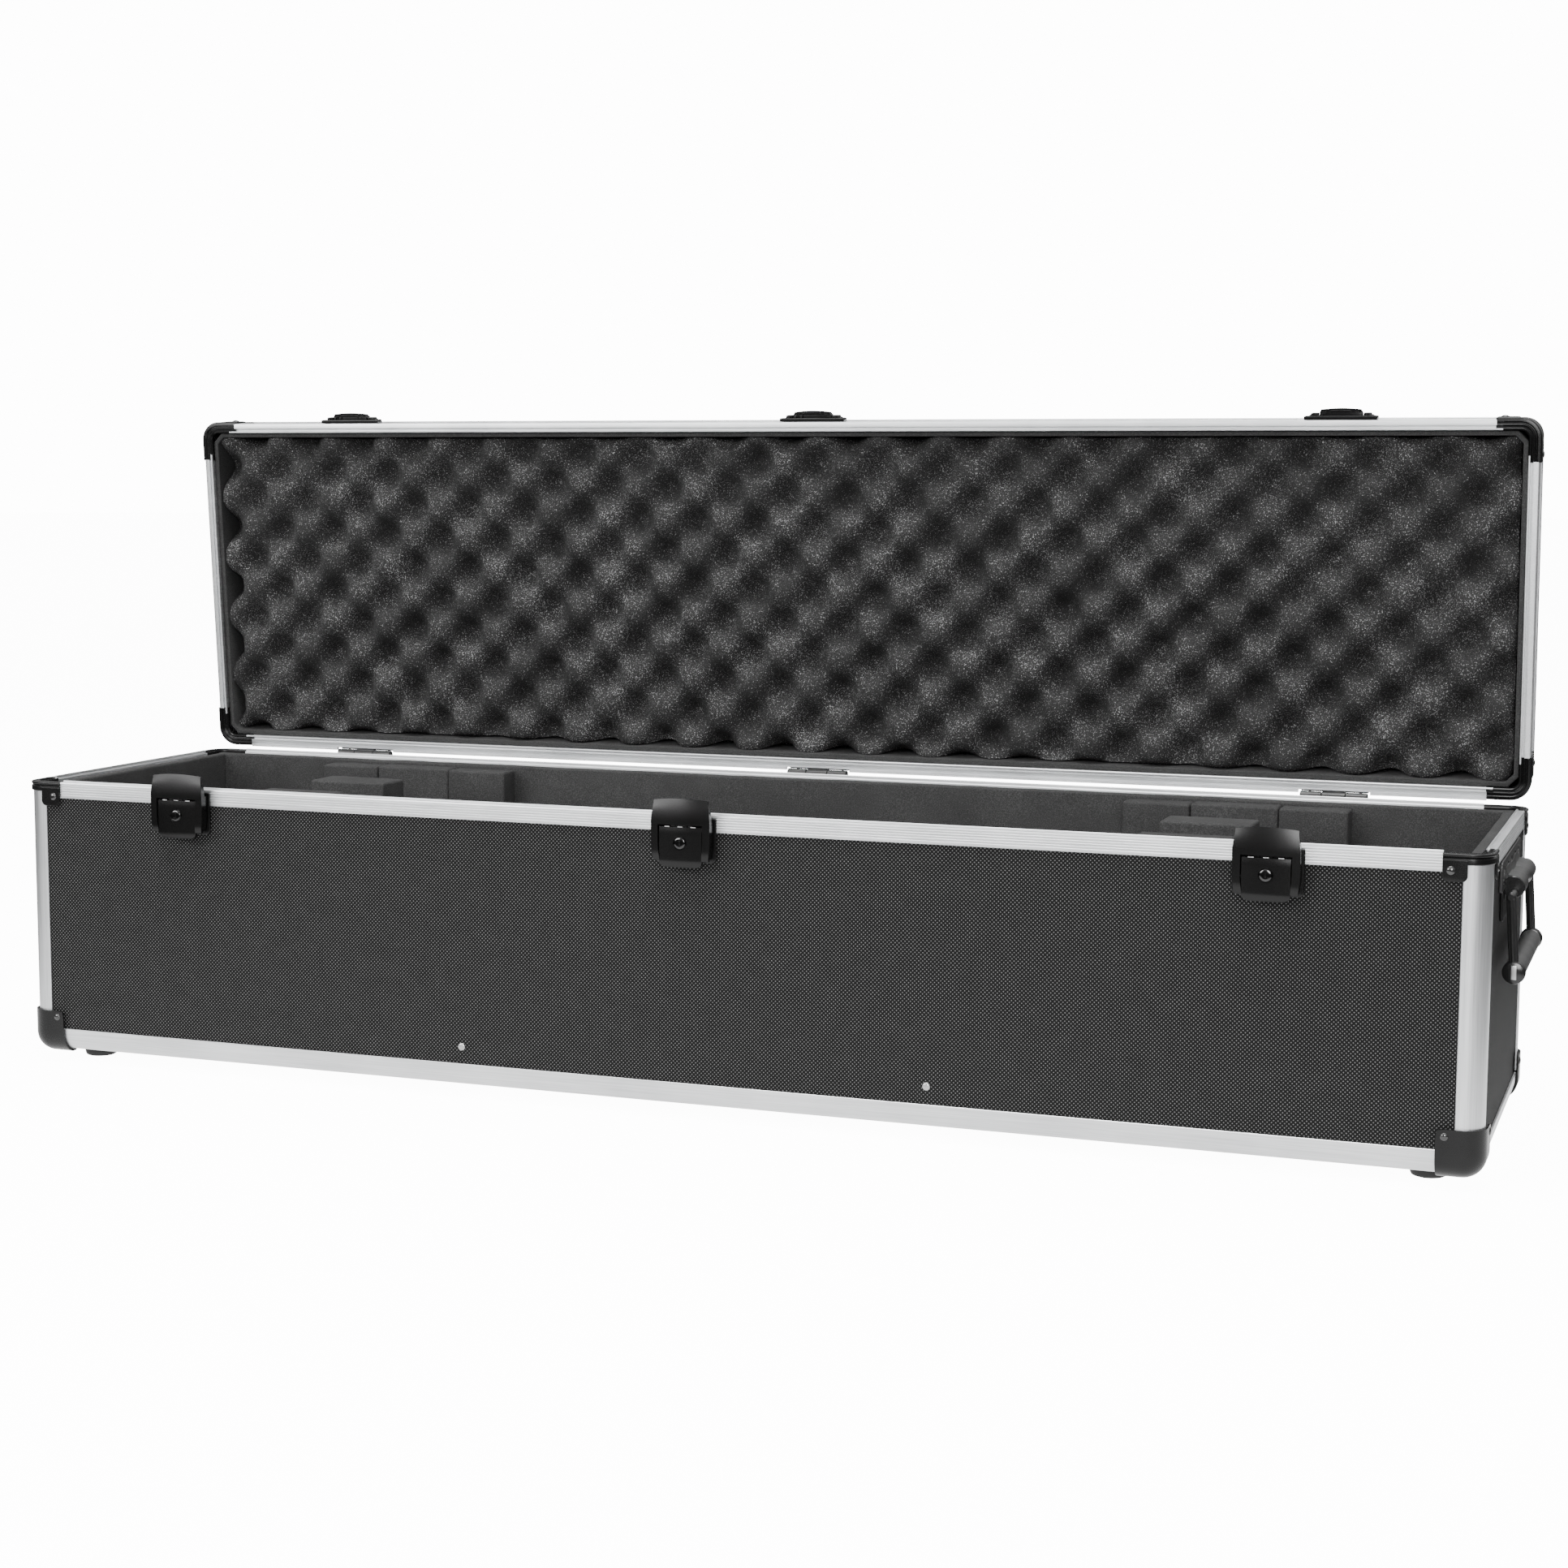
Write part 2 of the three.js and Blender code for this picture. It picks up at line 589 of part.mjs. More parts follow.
function bail() {
  const pivotX = -LENGTH / 2 - BAIL.pivotOut;
  const gripX = -LENGTH / 2 - BAIL.gripOut;
  const pivotZ = RIM_TOP + BAIL.pivotZ;
  const gripZ = RIM_TOP + BAIL.gripZ;
  const middle = DEPTH / 2;
  const rod = rodAlongY(BAIL.rod, [middle - BAIL.arm - 3, middle + BAIL.arm + 3], pivotX, pivotZ);
  const grip = rodAlongY(BAIL.grip, [middle - BAIL.arm + 2, middle + BAIL.arm - 2], gripX, gripZ, 20);
  const armHalf = 4;
  const sides = [-1, 1].flatMap((end) => {
    const y = middle + end * BAIL.arm;
    const strap = new THREE.BoxGeometry(2 * armHalf, 5, Math.hypot(pivotX - gripX, pivotZ - gripZ));
    strap.rotateY(Math.atan2(pivotX - gripX, pivotZ - gripZ));
    strap.translate((pivotX + gripX) / 2, y, (pivotZ + gripZ) / 2);
    return [
      toSolid(strap),
      rodAlongY(armHalf, [y - 2.5, y + 2.5], pivotX, pivotZ),
      rodAlongY(BAIL.cap, [y - 3, y + 3], gripX, gripZ, 20),
    ];
  });
  return joined([rod, grip, ...sides]);
}

// ---- Lid, modelled shut ----
function lidShell() {
  const outer = roundedHull(-BOARD_INSET - GAP, [BASE_Z, LID_TOP]);
  const room = post(planOutline(BOARD_INSET + PANEL), [BASE_Z, LID_TOP - BOARD_INSET - PANEL]);
  const lowest = LID_Z + RIM_SLOT_TOP + GAP;
  const slice = box([-LENGTH, LENGTH], [-DEPTH, 2 * DEPTH], [lowest, LID_TOP + 1]);
  return outer.subtract(room).intersect(slice);
}

// The lid's edge profile: a rounded angle that wraps the board's outer edge.
function lidEdgeSection() {
  const arc = (radius) => quarter(radius).map(([px, py]) => [EDGE_RADIUS - px, EDGE_RADIUS - py]);
  const outer = [[0, EDGE_LEG], ...arc(EDGE_RADIUS), [EDGE_LEG, 0]];
  const inner = [[EDGE_LEG, SKIN], ...arc(EDGE_RADIUS - SKIN).reverse(), [SKIN, EDGE_LEG]];
  return [...outer, ...inner].map(([inset, below]) => [inset, LID_TOP - below]).reverse();
}

// The lid's foam: a slab under the top board, nearly up to the rim.
function lidFoam() {
  const top = LID_TOP - BOARD_INSET - PANEL - GAP;
  return post(chamferedOutline(LID_FOAM_CHAMFER), [top - LID_FOAM, top]);
}

// A catch on the lid's front: a riveted flange, and a raised block with a recess for the hook.
function lidCatch(x) {
  const low = LID_Z + 1;
  const flange = box([x - CATCH.base / 2, x + CATCH.base / 2], [-CATCH.flange - GAP, -GAP], [low, low + 15]);
  const half = CATCH.block / 2;
  const block = beam(
    [
      [-GAP, low + 1],
      [-CATCH.proud + 1.5, low + 1],
      [-CATCH.proud, low + 2.5],
      [-CATCH.proud, low + CATCH.height - 3],
      [-CATCH.proud + 3, low + CATCH.height],
      [-GAP, low + CATCH.height],
    ],
    [x - half, x + half],
  );
  const recess = box([x - half + 5, x + half - 5], [-CATCH.proud - 1, -CATCH.proud + 3.5], [low + 3, low + 7]);
  return joined([flange, block]).subtract(recess);
}

function addLid(group) {
  group.add(toMesh("lid_shell", lidShell(), laminate));
  group.add(toMesh("lid_rim", rimRing(lidRimSection(), [LID_Z - 5, LID_Z + 20]), aluminium));
  group.add(toMesh("lid_edge_frame", frame(lidEdgeSection()), aluminium));
  group.add(toMesh("lid_foam", lidFoam(), crateFoam));
  for (const [place, side, rear] of CORNERS) {
    group.add(toMesh(`lid_rim_corner_${place}`, rimCorner(side, rear, LID_Z, -1), blackPlastic));
  }
}

// ---- Assembly ----
const assembly = new THREE.Group();
const hingeAxis = new THREE.Group();
const lid = new THREE.Group();
hingeAxis.position.set(0, DEPTH + HINGE.offset, RIM_TOP);
hingeAxis.rotation.x = -THREE.MathUtils.degToRad(LID_OPEN_ANGLE);
lid.position.copy(hingeAxis.position).negate();
hingeAxis.add(lid);
assembly.add(hingeAxis);

addBase(assembly);
addLid(lid);
for (const [place, step] of Object.entries(SIDES)) {
  const x = step * FITTING_SPACING;
  addLatch(assembly, place, x);
  assembly.add(toMesh(`hinge_base_leaf_${place}`, hingeLeaf(x, -1), steel));
  lid.add(toMesh(`hinge_lid_leaf_${place}`, hingeLeaf(x, 1), steel));
  lid.add(toMesh(`lid_catch_${place}`, lidCatch(x), blackPlastic));
}
for (const place of ["left", "right"]) {
  assembly.add(toMesh(`handle_mount_${place}`, mirrored(handleMount(), SIDES[place]), blackPlastic));
  assembly.add(toMesh(`handle_bail_${place}`, mirrored(bail(), SIDES[place]), blackPlastic));
}

const whole = new THREE.Box3().setFromObject(assembly, true);
assembly.position.y = -(whole.min.y + whole.max.y) / 2;

const telescopeCase = new THREE.Group();
telescopeCase.add(assembly);
export default telescopeCase;
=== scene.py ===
"""Long hard case for a telescope tube, lid open: detailed pieces round the CAD frame, with light and camera.

Shapes are written in case millimetres: x along the length from the middle, y back from the front face,
z up from the foot soles. Pieces of the lid are written shut and then turned open about the hinge pin.
"""

import json
from math import atan2, ceil, copysign, cos, degrees, pi, radians, sin, sqrt, tau

import bmesh
import bpy
from mathutils import Matrix, Vector, noise


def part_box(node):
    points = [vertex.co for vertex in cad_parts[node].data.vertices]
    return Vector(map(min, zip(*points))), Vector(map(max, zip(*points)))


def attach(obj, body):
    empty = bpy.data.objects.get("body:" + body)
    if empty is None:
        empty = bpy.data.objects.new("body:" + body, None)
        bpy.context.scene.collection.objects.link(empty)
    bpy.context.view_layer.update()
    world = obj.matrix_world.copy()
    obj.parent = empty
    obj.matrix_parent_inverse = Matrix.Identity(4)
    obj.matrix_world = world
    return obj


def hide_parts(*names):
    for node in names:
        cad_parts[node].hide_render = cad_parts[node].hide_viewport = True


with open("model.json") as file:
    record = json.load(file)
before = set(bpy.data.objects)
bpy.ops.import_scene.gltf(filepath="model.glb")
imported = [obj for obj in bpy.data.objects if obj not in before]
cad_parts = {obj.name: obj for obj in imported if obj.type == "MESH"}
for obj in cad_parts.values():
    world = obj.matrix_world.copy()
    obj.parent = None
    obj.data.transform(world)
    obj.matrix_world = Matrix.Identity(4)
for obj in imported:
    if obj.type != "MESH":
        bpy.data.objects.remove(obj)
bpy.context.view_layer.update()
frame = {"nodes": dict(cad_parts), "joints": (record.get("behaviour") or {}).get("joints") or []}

# ---- The case ----
HALF = 640.0  # of the length
DEPTH = 320.0
MIDDLE = DEPTH / 2
BASE_Z = 10.0  # underside of the base, on its feet
RIM_TOP = 255.0  # where the base ends
LID_Z = 255.4  # where the shut lid starts
LID_TOP = 315.4
PIN_Y = 325.0  # hinge pin, which lies at the height of RIM_TOP
BOARD_INSET = 1.9  # the boards' faces behind the profiles' faces
EDGE_RADIUS = 16.0
FITTINGS = {"left": -476.0, "middle": 0.0, "right": 476.0}  # where the hinges, latches and catches are
SIDES = {"left": -1, "right": 1}
CORNERS = {f"{face}_{end}": (SIDES[end], face == "rear") for face in ("front", "rear") for end in SIDES}
RIMS = {"base": (RIM_TOP, -1), "lid": (LID_Z, 1)}  # each rim's mating plane, and the way from it into the rim

front_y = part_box("front_panel")[0][1] * 1000 - BOARD_INSET
TO_FRAME = Matrix.Scale(0.001, 4) @ Matrix.Translation((0, front_y, 0))
lid_joint = next(j for j in frame["joints"] if j["name"] == "lid_hinge")
pin = Matrix.Translation(TO_FRAME @ Vector((0, PIN_Y, RIM_TOP)))
OPEN = pin @ Matrix.Rotation(-radians(max(lid_joint["range_deg"])), 4, "X") @ pin.inverted()


# ---- Outlines and numbers ----
def on_axis(axis, p, q, s):
    """A point from two outline coordinates and its place along the axis."""
    return {"x": (s, p, q), "y": (p, s, q), "z": (p, q, s)}[axis]


def arc(centre, radius, start, end, steps):
    """Points of an arc, angles in degrees."""
    turns = [radians(start + (end - start) * i / steps) for i in range(steps + 1)]
    return [(centre[0] + radius * cos(t), centre[1] + radius * sin(t)) for t in turns]


def rounded_outline(p0, p1, q0, q1, radii):
    """A rectangle with its own corner radius at (p1,q1), (p0,q1), (p0,q0) and (p1,q0)."""
    points = []
    corners = [(p1, q1, -1, -1), (p0, q1, 1, -1), (p0, q0, 1, 1), (p1, q0, -1, 1)]
    for (p, q, dp, dq), radius, start in zip(corners, radii, (0, 90, 180, 270)):
        points += arc((p + dp * radius, q + dq * radius), radius, start, start + 90, 6)
    return points


def ease(t):
    t = min(max(t, 0.0), 1.0)
    return t * t * (3 - 2 * t)


def spread(low, high, step):
    """Even divisions from low to high, about a step apart."""
    count = max(1, round((high - low) / step))
    return [low + (high - low) * (i / count) for i in range(count + 1)]


def mirrored(low, high):
    """A span and its mirror image, the negative one first."""
    return ((-high, -low), (low, high))


# ---- Mesh building ----
MERGE = 1e-3  # vertices closer than this become one


def new_object(name, data):
    made = bpy.data.objects.new(name, data)
    bpy.context.scene.collection.objects.link(made)
    return made


class Builder:
    """Collects faces in case millimetres, then makes one piece of them."""

    def __init__(self):
        self.bm = bmesh.new()

    def rows(self, rows, closed=False, slot=0):
        """Quads between rows of points. `closed` joins each row's ends and caps the first and last row."""
        made = [[self.bm.verts.new(p) for p in row] for row in rows]
        count = len(made[0])
        for a, b in zip(made, made[1:]):
            for i in range(count if closed else count - 1):
                j = (i + 1) % count
                self.bm.faces.new([a[i], a[j], b[j], b[i]]).material_index = slot
        if closed:
            for row in (made[0], made[-1]):
                self.bm.faces.new(row).material_index = slot
        return made

    def prism(self, outline, axis, span, slot=0):
        """An outline drawn out along an axis."""
        self.rows([[on_axis(axis, p, q, s) for p, q in outline] for s in span], True, slot)

    def lathe(self, profile, axis, centre, steps=32, slot=0):
        """A profile of (radius, place along the axis) turned about a centre of the two other coordinates."""
        rows = []
        for radius, s in profile:
            turn = [i / steps * tau for i in range(steps)]
            ring = [(centre[0] + radius * cos(t), centre[1] + radius * sin(t)) for t in turn]
            rows.append([on_axis(axis, p, q, s) for p, q in ring])
        self.rows(rows, True, slot)

    def rod(self, span, radius, end_radius, chamfer, axis, centre, steps=24, slot=0):
        """A round rod with chamfered ends."""
        low, high = span
        profile = [(end_radius, low), (radius, low + chamfer), (radius, high - chamfer), (end_radius, high)]
        self.lathe(profile, axis, centre, steps, slot)

    def dome(self, centre, axis, outward, radius, height, slot=0):
        """A domed rivet head. `centre` is on the surface, and `outward` is +1 or -1 along the axis."""
        k = "xyz".index(axis)
        others = [centre[i] for i in range(3) if i != k]
        sunk, shoulder, taper = 0.4, 0.15, 0.96
        profile = [(radius, -sunk), (radius, shoulder * height)]
        for turn in map(radians, (20, 45, 70, 88)):
            rise = shoulder + (1 - shoulder) * sin(turn)
            profile.append((radius * cos(turn) * taper, height * rise))
        self.lathe([(r, centre[k] + outward * h) for r, h in profile], axis, others, 20, slot)

    def cells(self, us, vs, keep, axis, span):
        """A plate made of grid cells: `keep(u, v)` says which cells it has, by their middles."""
        verts = {}

        def vert(i, j, s):
            key = (i, j, s)
            if key not in verts:
                verts[key] = self.bm.verts.new(on_axis(axis, us[i], vs[j], s))
            return verts[key]

        def kept(i, j):
            inside = 0 <= i < len(us) - 1 and 0 <= j < len(vs) - 1
            return inside and keep((us[i] + us[i + 1]) / 2, (vs[j] + vs[j + 1]) / 2)

        near, far = span
        for i in range(len(us) - 1):
            for j in range(len(vs) - 1):
                if not kept(i, j):
                    continue
                ring = [(i, j), (i + 1, j), (i + 1, j + 1), (i, j + 1)]
                for s in span:
                    self.bm.faces.new([vert(a, b, s) for a, b in ring])
                for k, (di, dj) in enumerate([(0, -1), (1, 0), (0, 1), (-1, 0)]):
                    if not kept(i + di, j + dj):
                        a, b = ring[k], ring[(k + 1) % 4]
                        self.bm.faces.new([vert(*a, near), vert(*b, near), vert(*b, far), vert(*a, far)])

    def block(self, low, high, radius, step=14.0, slot=0):
        """A box with rounded edges, its flats divided by `step`."""
        lines = []
        for lo, hi in zip(low, high):
            edge = [radius * f for f in (0, 0.25, 0.5, 0.75)]
            count = max(1, ceil((hi - lo - 2 * radius) / step))
            flat = [lo + radius + (hi - lo - 2 * radius) * i / count for i in range(count + 1)]
            lines.append([lo + e for e in edge] + flat + [hi - e for e in reversed(edge)])

        def rounded(q):
            core = Vector(min(max(c, lo + radius), hi - radius) for c, lo, hi in zip(q, low, high))
            out = Vector(q) - core
            return core + out.normalized() * radius if out.length > 1e-6 else Vector(q)

        for k, axis in enumerate("xyz"):
            us, vs = [lines[i] for i in range(3) if i != k]
            for level in (low[k], high[k]):
                self.rows([[rounded(on_axis(axis, u, v, level)) for v in vs] for u in us], slot=slot)

    def plate(self, outlines, axis, span, bevel=0.4, slot=0):
        """Outlines (the first is the edge, the others holes) raised to a plate with rounded edges."""
        curve = bpy.data.curves.new("outline", "CURVE")
        curve.dimensions = "2D"
        curve.fill_mode = "BOTH"
        curve.extrude = (span[1] - span[0]) / 2 - bevel
        curve.bevel_depth = bevel
        curve.bevel_resolution = 2
        curve.offset = -bevel
        for outline in outlines:
            spline = curve.splines.new("POLY")
            spline.points.add(len(outline) - 1)
            for point, (p, q) in zip(spline.points, outline):
                point.co = (p, q, 0, 1)
            spline.use_cyclic_u = True
        holder = new_object("outline", curve)
        graph = bpy.context.evaluated_depsgraph_get()
        made = bpy.data.meshes.new_from_object(holder.evaluated_get(graph))
        middle = (span[0] + span[1]) / 2
        for vertex in made.vertices:
            p, q, s = vertex.co
            vertex.co = on_axis(axis, p, q, middle + s)
        for polygon in made.polygons:
            polygon.material_index = slot
        self.bm.from_mesh(made)
        bpy.data.objects.remove(holder)
        bpy.data.curves.remove(curve)
        bpy.data.meshes.remove(made)

    def warp(self, move, start=0):
        """Moves every vertex from number `start` on."""
        self.bm.verts.ensure_lookup_table()
        for vertex in self.bm.verts[start:]:
            vertex.co = move(*vertex.co)

    def piece(self, name, body, slot, materials, replaces=(), bevel=0.0, sharp=35, pad=None):
        """Makes the object, hangs it on the body it rides on, and hides the CAD parts it stands for."""
        bmesh.ops.remove_doubles(self.bm, verts=self.bm.verts, dist=MERGE)
        bmesh.ops.recalc_face_normals(self.bm, faces=self.bm.faces)
        self.bm.transform(OPEN @ TO_FRAME if body == "lid" else TO_FRAME)
        data = bpy.data.meshes.new(name)
        self.bm.to_mesh(data)
        self.bm.free()
        for finish in materials:
            data.materials.append(finish)
        data.polygons.foreach_set("use_smooth", [True] * len(data.polygons))
        data.set_sharp_from_angle(angle=radians(sharp))
        made = new_object(name, data)
        if bevel:
            rounding = made.modifiers.new("rounded_edges", "BEVEL")
            rounding.width = bevel * 0.001
            rounding.segments = 2
            rounding.limit_method = "ANGLE"
            rounding.angle_limit = radians(sharp)
            rounding.harden_normals = True
        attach(made, body)
        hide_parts(*replaces)


# ---- Materials ----
def add_node(tree, kind, inputs, **settings):
    """A new node with its settings, and its inputs set or linked."""
    made = tree.nodes.new("ShaderNode" + kind)
    for key, value in settings.items():
        setattr(made, key, value)
    for key, value in inputs.items():
        if isinstance(value, bpy.types.NodeSocket):
            tree.links.new(value, made.inputs[key])
        else:
            made.inputs[key].default_value = value
    return made


class Nodes:
    """A material's node tree, with short calls to add and link nodes."""

    def __init__(self, name, color, roughness, specular=0.5, metallic=0.0):
        self.material = bpy.data.materials.new(name)
        self.material.use_nodes = True
        self.material.diffuse_color = (*color, 1)
        self.tree = self.material.node_tree
        self.shader = next(n for n in self.tree.nodes if n.type == "BSDF_PRINCIPLED")
        values = {"Base Color": (*color, 1), "Roughness": roughness, "Metallic": metallic}
        for key, value in {**values, "Specular IOR Level": specular}.items():
            self.shader.inputs[key].default_value = value

    def add(self, kind, inputs, **settings):
        return add_node(self.tree, kind, inputs, **settings)

    def math(self, operation, a, b=0.0):
        return self.add("Math", {0: a, 1: b}, operation=operation).outputs[0]

    def coordinates(self, scale=(1, 1, 1)):
        place = self.add("TexCoord", {}).outputs["Object"]
        return self.add("Mapping", {"Vector": place, "Scale": scale}).outputs[0]

    def noise(self, vector, scale, detail, rough):
        inputs = {"Vector": vector, "Scale": scale, "Detail": detail, "Roughness": rough}
        return self.add("TexNoise", inputs).outputs["Fac"]

    def paint(self, value, stops):
        """Base colour from a ramp over the value. A stop's colour is a grey or a tuple."""
        made = self.add("ValToRGB", {"Fac": value})
        elements = made.color_ramp.elements
        while len(elements) < len(stops):
            elements.new(0.5)
        for element, (place, color) in zip(elements, stops):
            element.position = place
            element.color = (*color, 1) if isinstance(color, tuple) else (color, color, color, 1)
        self.tree.links.new(made.outputs["Color"], self.shader.inputs["Base Color"])

    def rough(self, value, low, high):
        span = self.add("MapRange", {"Value": value, "To Min": low, "To Max": high})
        self.tree.links.new(span.outputs[0], self.shader.inputs["Roughness"])

    def bump(self, height, distance, strength):
        made = self.add("Bump", {"Height": height, "Distance": distance, "Strength": strength})
        self.tree.links.new(made.outputs[0], self.shader.inputs["Normal"])


def laminate():
    """Dark board skin embossed with a lattice of small pyramids, with painted highlights on their tips and
    painted shade in the valleys between them.
    """
    pitch = 3.33  # millimetres
    steep = 0.6  # how much of a face's normal lies along x or z on an end or a top
    m = Nodes("laminate", (0.05, 0.05, 0.052), 0.6, 0.05)
    texture = m.add("TexCoord", {})
    place = m.add("SeparateXYZ", {0: texture.outputs["Object"]})
    facing = m.add("SeparateXYZ", {0: texture.outputs["Normal"]})

    def coordinate(k):
        """The place along an axis, or along y on faces that look along that axis."""
        turned = m.math("GREATER_THAN", m.math("ABSOLUTE", facing.outputs[k]), steep)
        choice = {0: turned, 2: place.outputs[k], 3: place.outputs[1]}
        return m.add("Mix", choice, data_type="FLOAT").outputs[0]

    u, v = coordinate(0), coordinate(2)

    def ridge(operation):
        phase = m.math("MULTIPLY", m.math(operation, u, v), 1000 / pitch)
        wave = m.math("ABSOLUTE", m.math("SUBTRACT", m.math("FRACT", phase), 0.5))
        return m.math("MULTIPLY", wave, 2.0)

    height = m.math("MINIMUM", ridge("ADD"), ridge("SUBTRACT"))
    blotch = m.noise(m.coordinates(), 60, 3, 0.6)
    # Colour by the pyramids' height: painted highlights on the tips and painted shade in the valleys, with
    # blotches of tone at random.
    shade = m.math("ADD", height, m.math("MULTIPLY", m.math("SUBTRACT", blotch, 0.5), 0.12))
    m.paint(shade, [(0.0, 0.007), (0.42, 0.015), (0.62, 0.05), (0.9, 0.20)])
    m.rough(blotch, 0.55, 0.68)
    m.bump(height, 0.0008, 0.9)
    return m.material


def aluminium(axis):
    """Extruded aluminium with fine drawing lines along one axis."""
    along, across = 12, 900
    m = Nodes("aluminium_" + axis, (0.80, 0.81, 0.82), 0.36, metallic=1.0)
    lines = m.noise(m.coordinates([along if a == axis else across for a in "xyz"]), 1.0, 3, 0.65)
    cloud = m.noise(m.coordinates(), 14, 3, 0.55)
    tone = m.math("ADD", m.math("MULTIPLY", lines, 0.6), m.math("MULTIPLY", cloud, 0.4))
    m.paint(tone, [(0.3, (0.62, 0.63, 0.64)), (0.68, (0.90, 0.91, 0.92))])
    m.rough(lines, 0.36, 0.50)
    m.bump(lines, 0.00006, 0.5)
    return m.material


def moulded(name, shades, roughness, grain, depth, specular=0.5, metallic=0.0):
    """Moulded or coated surface with a fine grain. Shades and roughness are ranges."""
    m = Nodes(name, (shades[0],) * 3, roughness[0], specular, metallic)
    fine = m.noise(m.coordinates(), grain, 3, 0.55)
    broad = m.noise(m.coordinates(), 35, 3, 0.6)
    m.paint(broad, [(0.3, shades[0]), (0.72, shades[1])])
    m.rough(fine, *roughness)
    m.bump(fine, depth, 0.5)
    return m.material


def foam(name, shades, scale, depth):
    """Open-cell foam: painted shade in the dark pores, and bright specks painted on as glints where the cell
    walls catch the light.
    """
    dark, mid, light = shades
    m = Nodes(name, (mid, mid, mid), 0.9, 0.25)
    place = m.coordinates()
    fine = m.noise(place, scale, 2, 0.7)
    cells = m.add("TexVoronoi", {"Vector": place, "Scale": scale * 0.8}, feature="F1").outputs["Distance"]
    broad = m.noise(place, 22, 3, 0.6)
    value = m.math("ADD", fine, m.math("MULTIPLY", m.math("SUBTRACT", broad, 0.5), 0.22))
    # Painted shade for the pores at the dark end, painted glints at the light end, and tone that varies at
    # random between.
    m.paint(value, [(0.34, dark), (0.52, mid), (0.60, mid * 1.3), (0.68, light)])
    m.rough(fine, 0.75, 1.0)
    m.bump(m.math("ADD", fine, m.math("MULTIPLY", cells, 0.6)), depth, 0.7)
    return m.material


LAMINATE = laminate()
ALONG_X, ALONG_Y, ALONG_Z = [aluminium(axis) for axis in "xyz"]
FRAME_FINISH = [ALONG_X, ALONG_Y]
CORNER_PLASTIC = moulded("corner_plastic", (0.003, 0.006), (0.20, 0.32), 1500, 0.00005, 0.3)
RIVET_COAT = moulded("rivet_coating", (0.01, 0.02), (0.06, 0.12), 900, 0.00001, 0.9)
CORNER_FINISH = [CORNER_PLASTIC, RIVET_COAT]
LATCH_COAT = moulded("latch_coating", (0.0012, 0.0025), (0.20, 0.27), 1800, 0.00002, 0.35)
LOCK_CHROME = moulded("lock_chrome", (0.045, 0.075), (0.08, 0.14), 900, 0.00001, metallic=1.0)
HINGE_STEEL = moulded("hinge_steel", (0.045, 0.075), (0.3, 0.42), 700, 0.00003, metallic=1.0)
HANDLE_COAT = moulded("handle_coating", (0.006, 0.012), (0.16, 0.28), 1600, 0.00002, 0.6)
SADDLE_COAT = moulded("saddle_coating", (0.016, 0.030), (0.30, 0.42), 1200, 0.00004, 0.6)
GRIP_VINYL = moulded("grip_vinyl", (0.030, 0.050), (0.42, 0.55), 1400, 0.00006)
# Each foam's shades: its painted pore shade, its own grey, and its painted glints, strong on the egg-crate
# foam.
LINER_FOAM = foam("liner_foam", (0.019, 0.033, 0.060), 1100, 0.0004)
CRATE_FOAM = foam("egg_crate_foam", (0.010, 0.025, 0.32), 900, 0.0009)
FOOT_RUBBER = moulded("foot_rubber", (0.006, 0.012), (0.55, 0.75), 1300, 0.00008, 0.4)
SCREW_STEEL = moulded("screw_steel", (0.45, 0.62), (0.25, 0.38), 900, 0.00002, metallic=1.0)


# ---- Boards kept from the CAD ----
for node in ("front_panel", "rear_panel", "left_end_panel", "right_end_panel", "floor_panel", "lid_shell"):
    board = frame["nodes"][node].data
    board.materials.clear()
    board.materials.append(LAMINATE)


# ---- Aluminium profiles ----
SKIN = 1.6  # the profiles' wall
SLOT = 5.6  # width of the slot that holds a board
SLOT_END = 16.5
PROFILE_DEPTH = 8.8
EDGE_LEG = 20.6  # width of the bottom frame and the posts
LID_LEG = 23.0  # width of the lid's edge profile
BOTTOM_CUT = 25.0  # how far short of the case's corners the bars stop
BASE_RIM_CUT = 35.9
LID_RIM_CUT = 35.2
LID_EDGE_CUT = 35.2
RIM_WALL_CUT = 30.0
RIM_HEIGHT = 14.2
RIM_SLOT_TOP = 7.0
HINGE_GAP = 31.0  # half of the gap in the lip at each hinge
COLLAR = 8.4  # height of the band round a rim corner


def bars(builder, section, cut):
    """A section of (inset, z) as four straight bars, each stopping `cut` short of the case's corners."""
    for rear in (False, True):
        outline = [(DEPTH - inset if rear else inset, z) for inset, z in section]
        builder.prism(outline, "x", (-HALF + cut, HALF - cut), 0)
    for side in (-1, 1):
        outline = [(side * (HALF - inset), z) for inset, z in section]
        builder.prism(outline, "y", (cut, DEPTH - cut), 1)


def rounded_angle(radius=EDGE_RADIUS):
    """A quarter turn round the case's edge as (inset, height)."""
    return [(EDGE_RADIUS + p, EDGE_RADIUS + q) for p, q in arc((0, 0), radius, 180, 270, 10)]


def edge_profile(z):
    """The bottom frame's and the posts' section: a rounded angle, with a slot for each board."""
    leg, slot, deep = EDGE_LEG, SKIN + SLOT, PROFILE_DEPTH
    points = [(0.5, leg), (0, leg - 0.5)] + rounded_angle() + [(leg - 0.5, 0), (leg, 0.5)]
    points += [(leg, SKIN), (SLOT_END, SKIN), (SLOT_END, slot), (leg, slot), (leg, deep), (deep, deep)]
    points += [(deep, leg), (slot, leg), (slot, SLOT_END), (SKIN, SLOT_END), (SKIN, leg)]
    return [(inset, z + height) for inset, height in points]


def grooved_face():
    """A rim's outer face as (inset, distance from the mating plane), with fine grooves."""
    count, first, pitch = 5, 2.6, 2.15
    groove = [(0, -0.55), (0.32, -0.25), (0.42, 0), (0.32, 0.25), (0, 0.55)]
    face = [(0.7, 0), (0.2, 0.2), (0, 0.7)]
    for i in range(count):
        face += [(inset, first + i * pitch + along) for inset, along in groove]
    return face


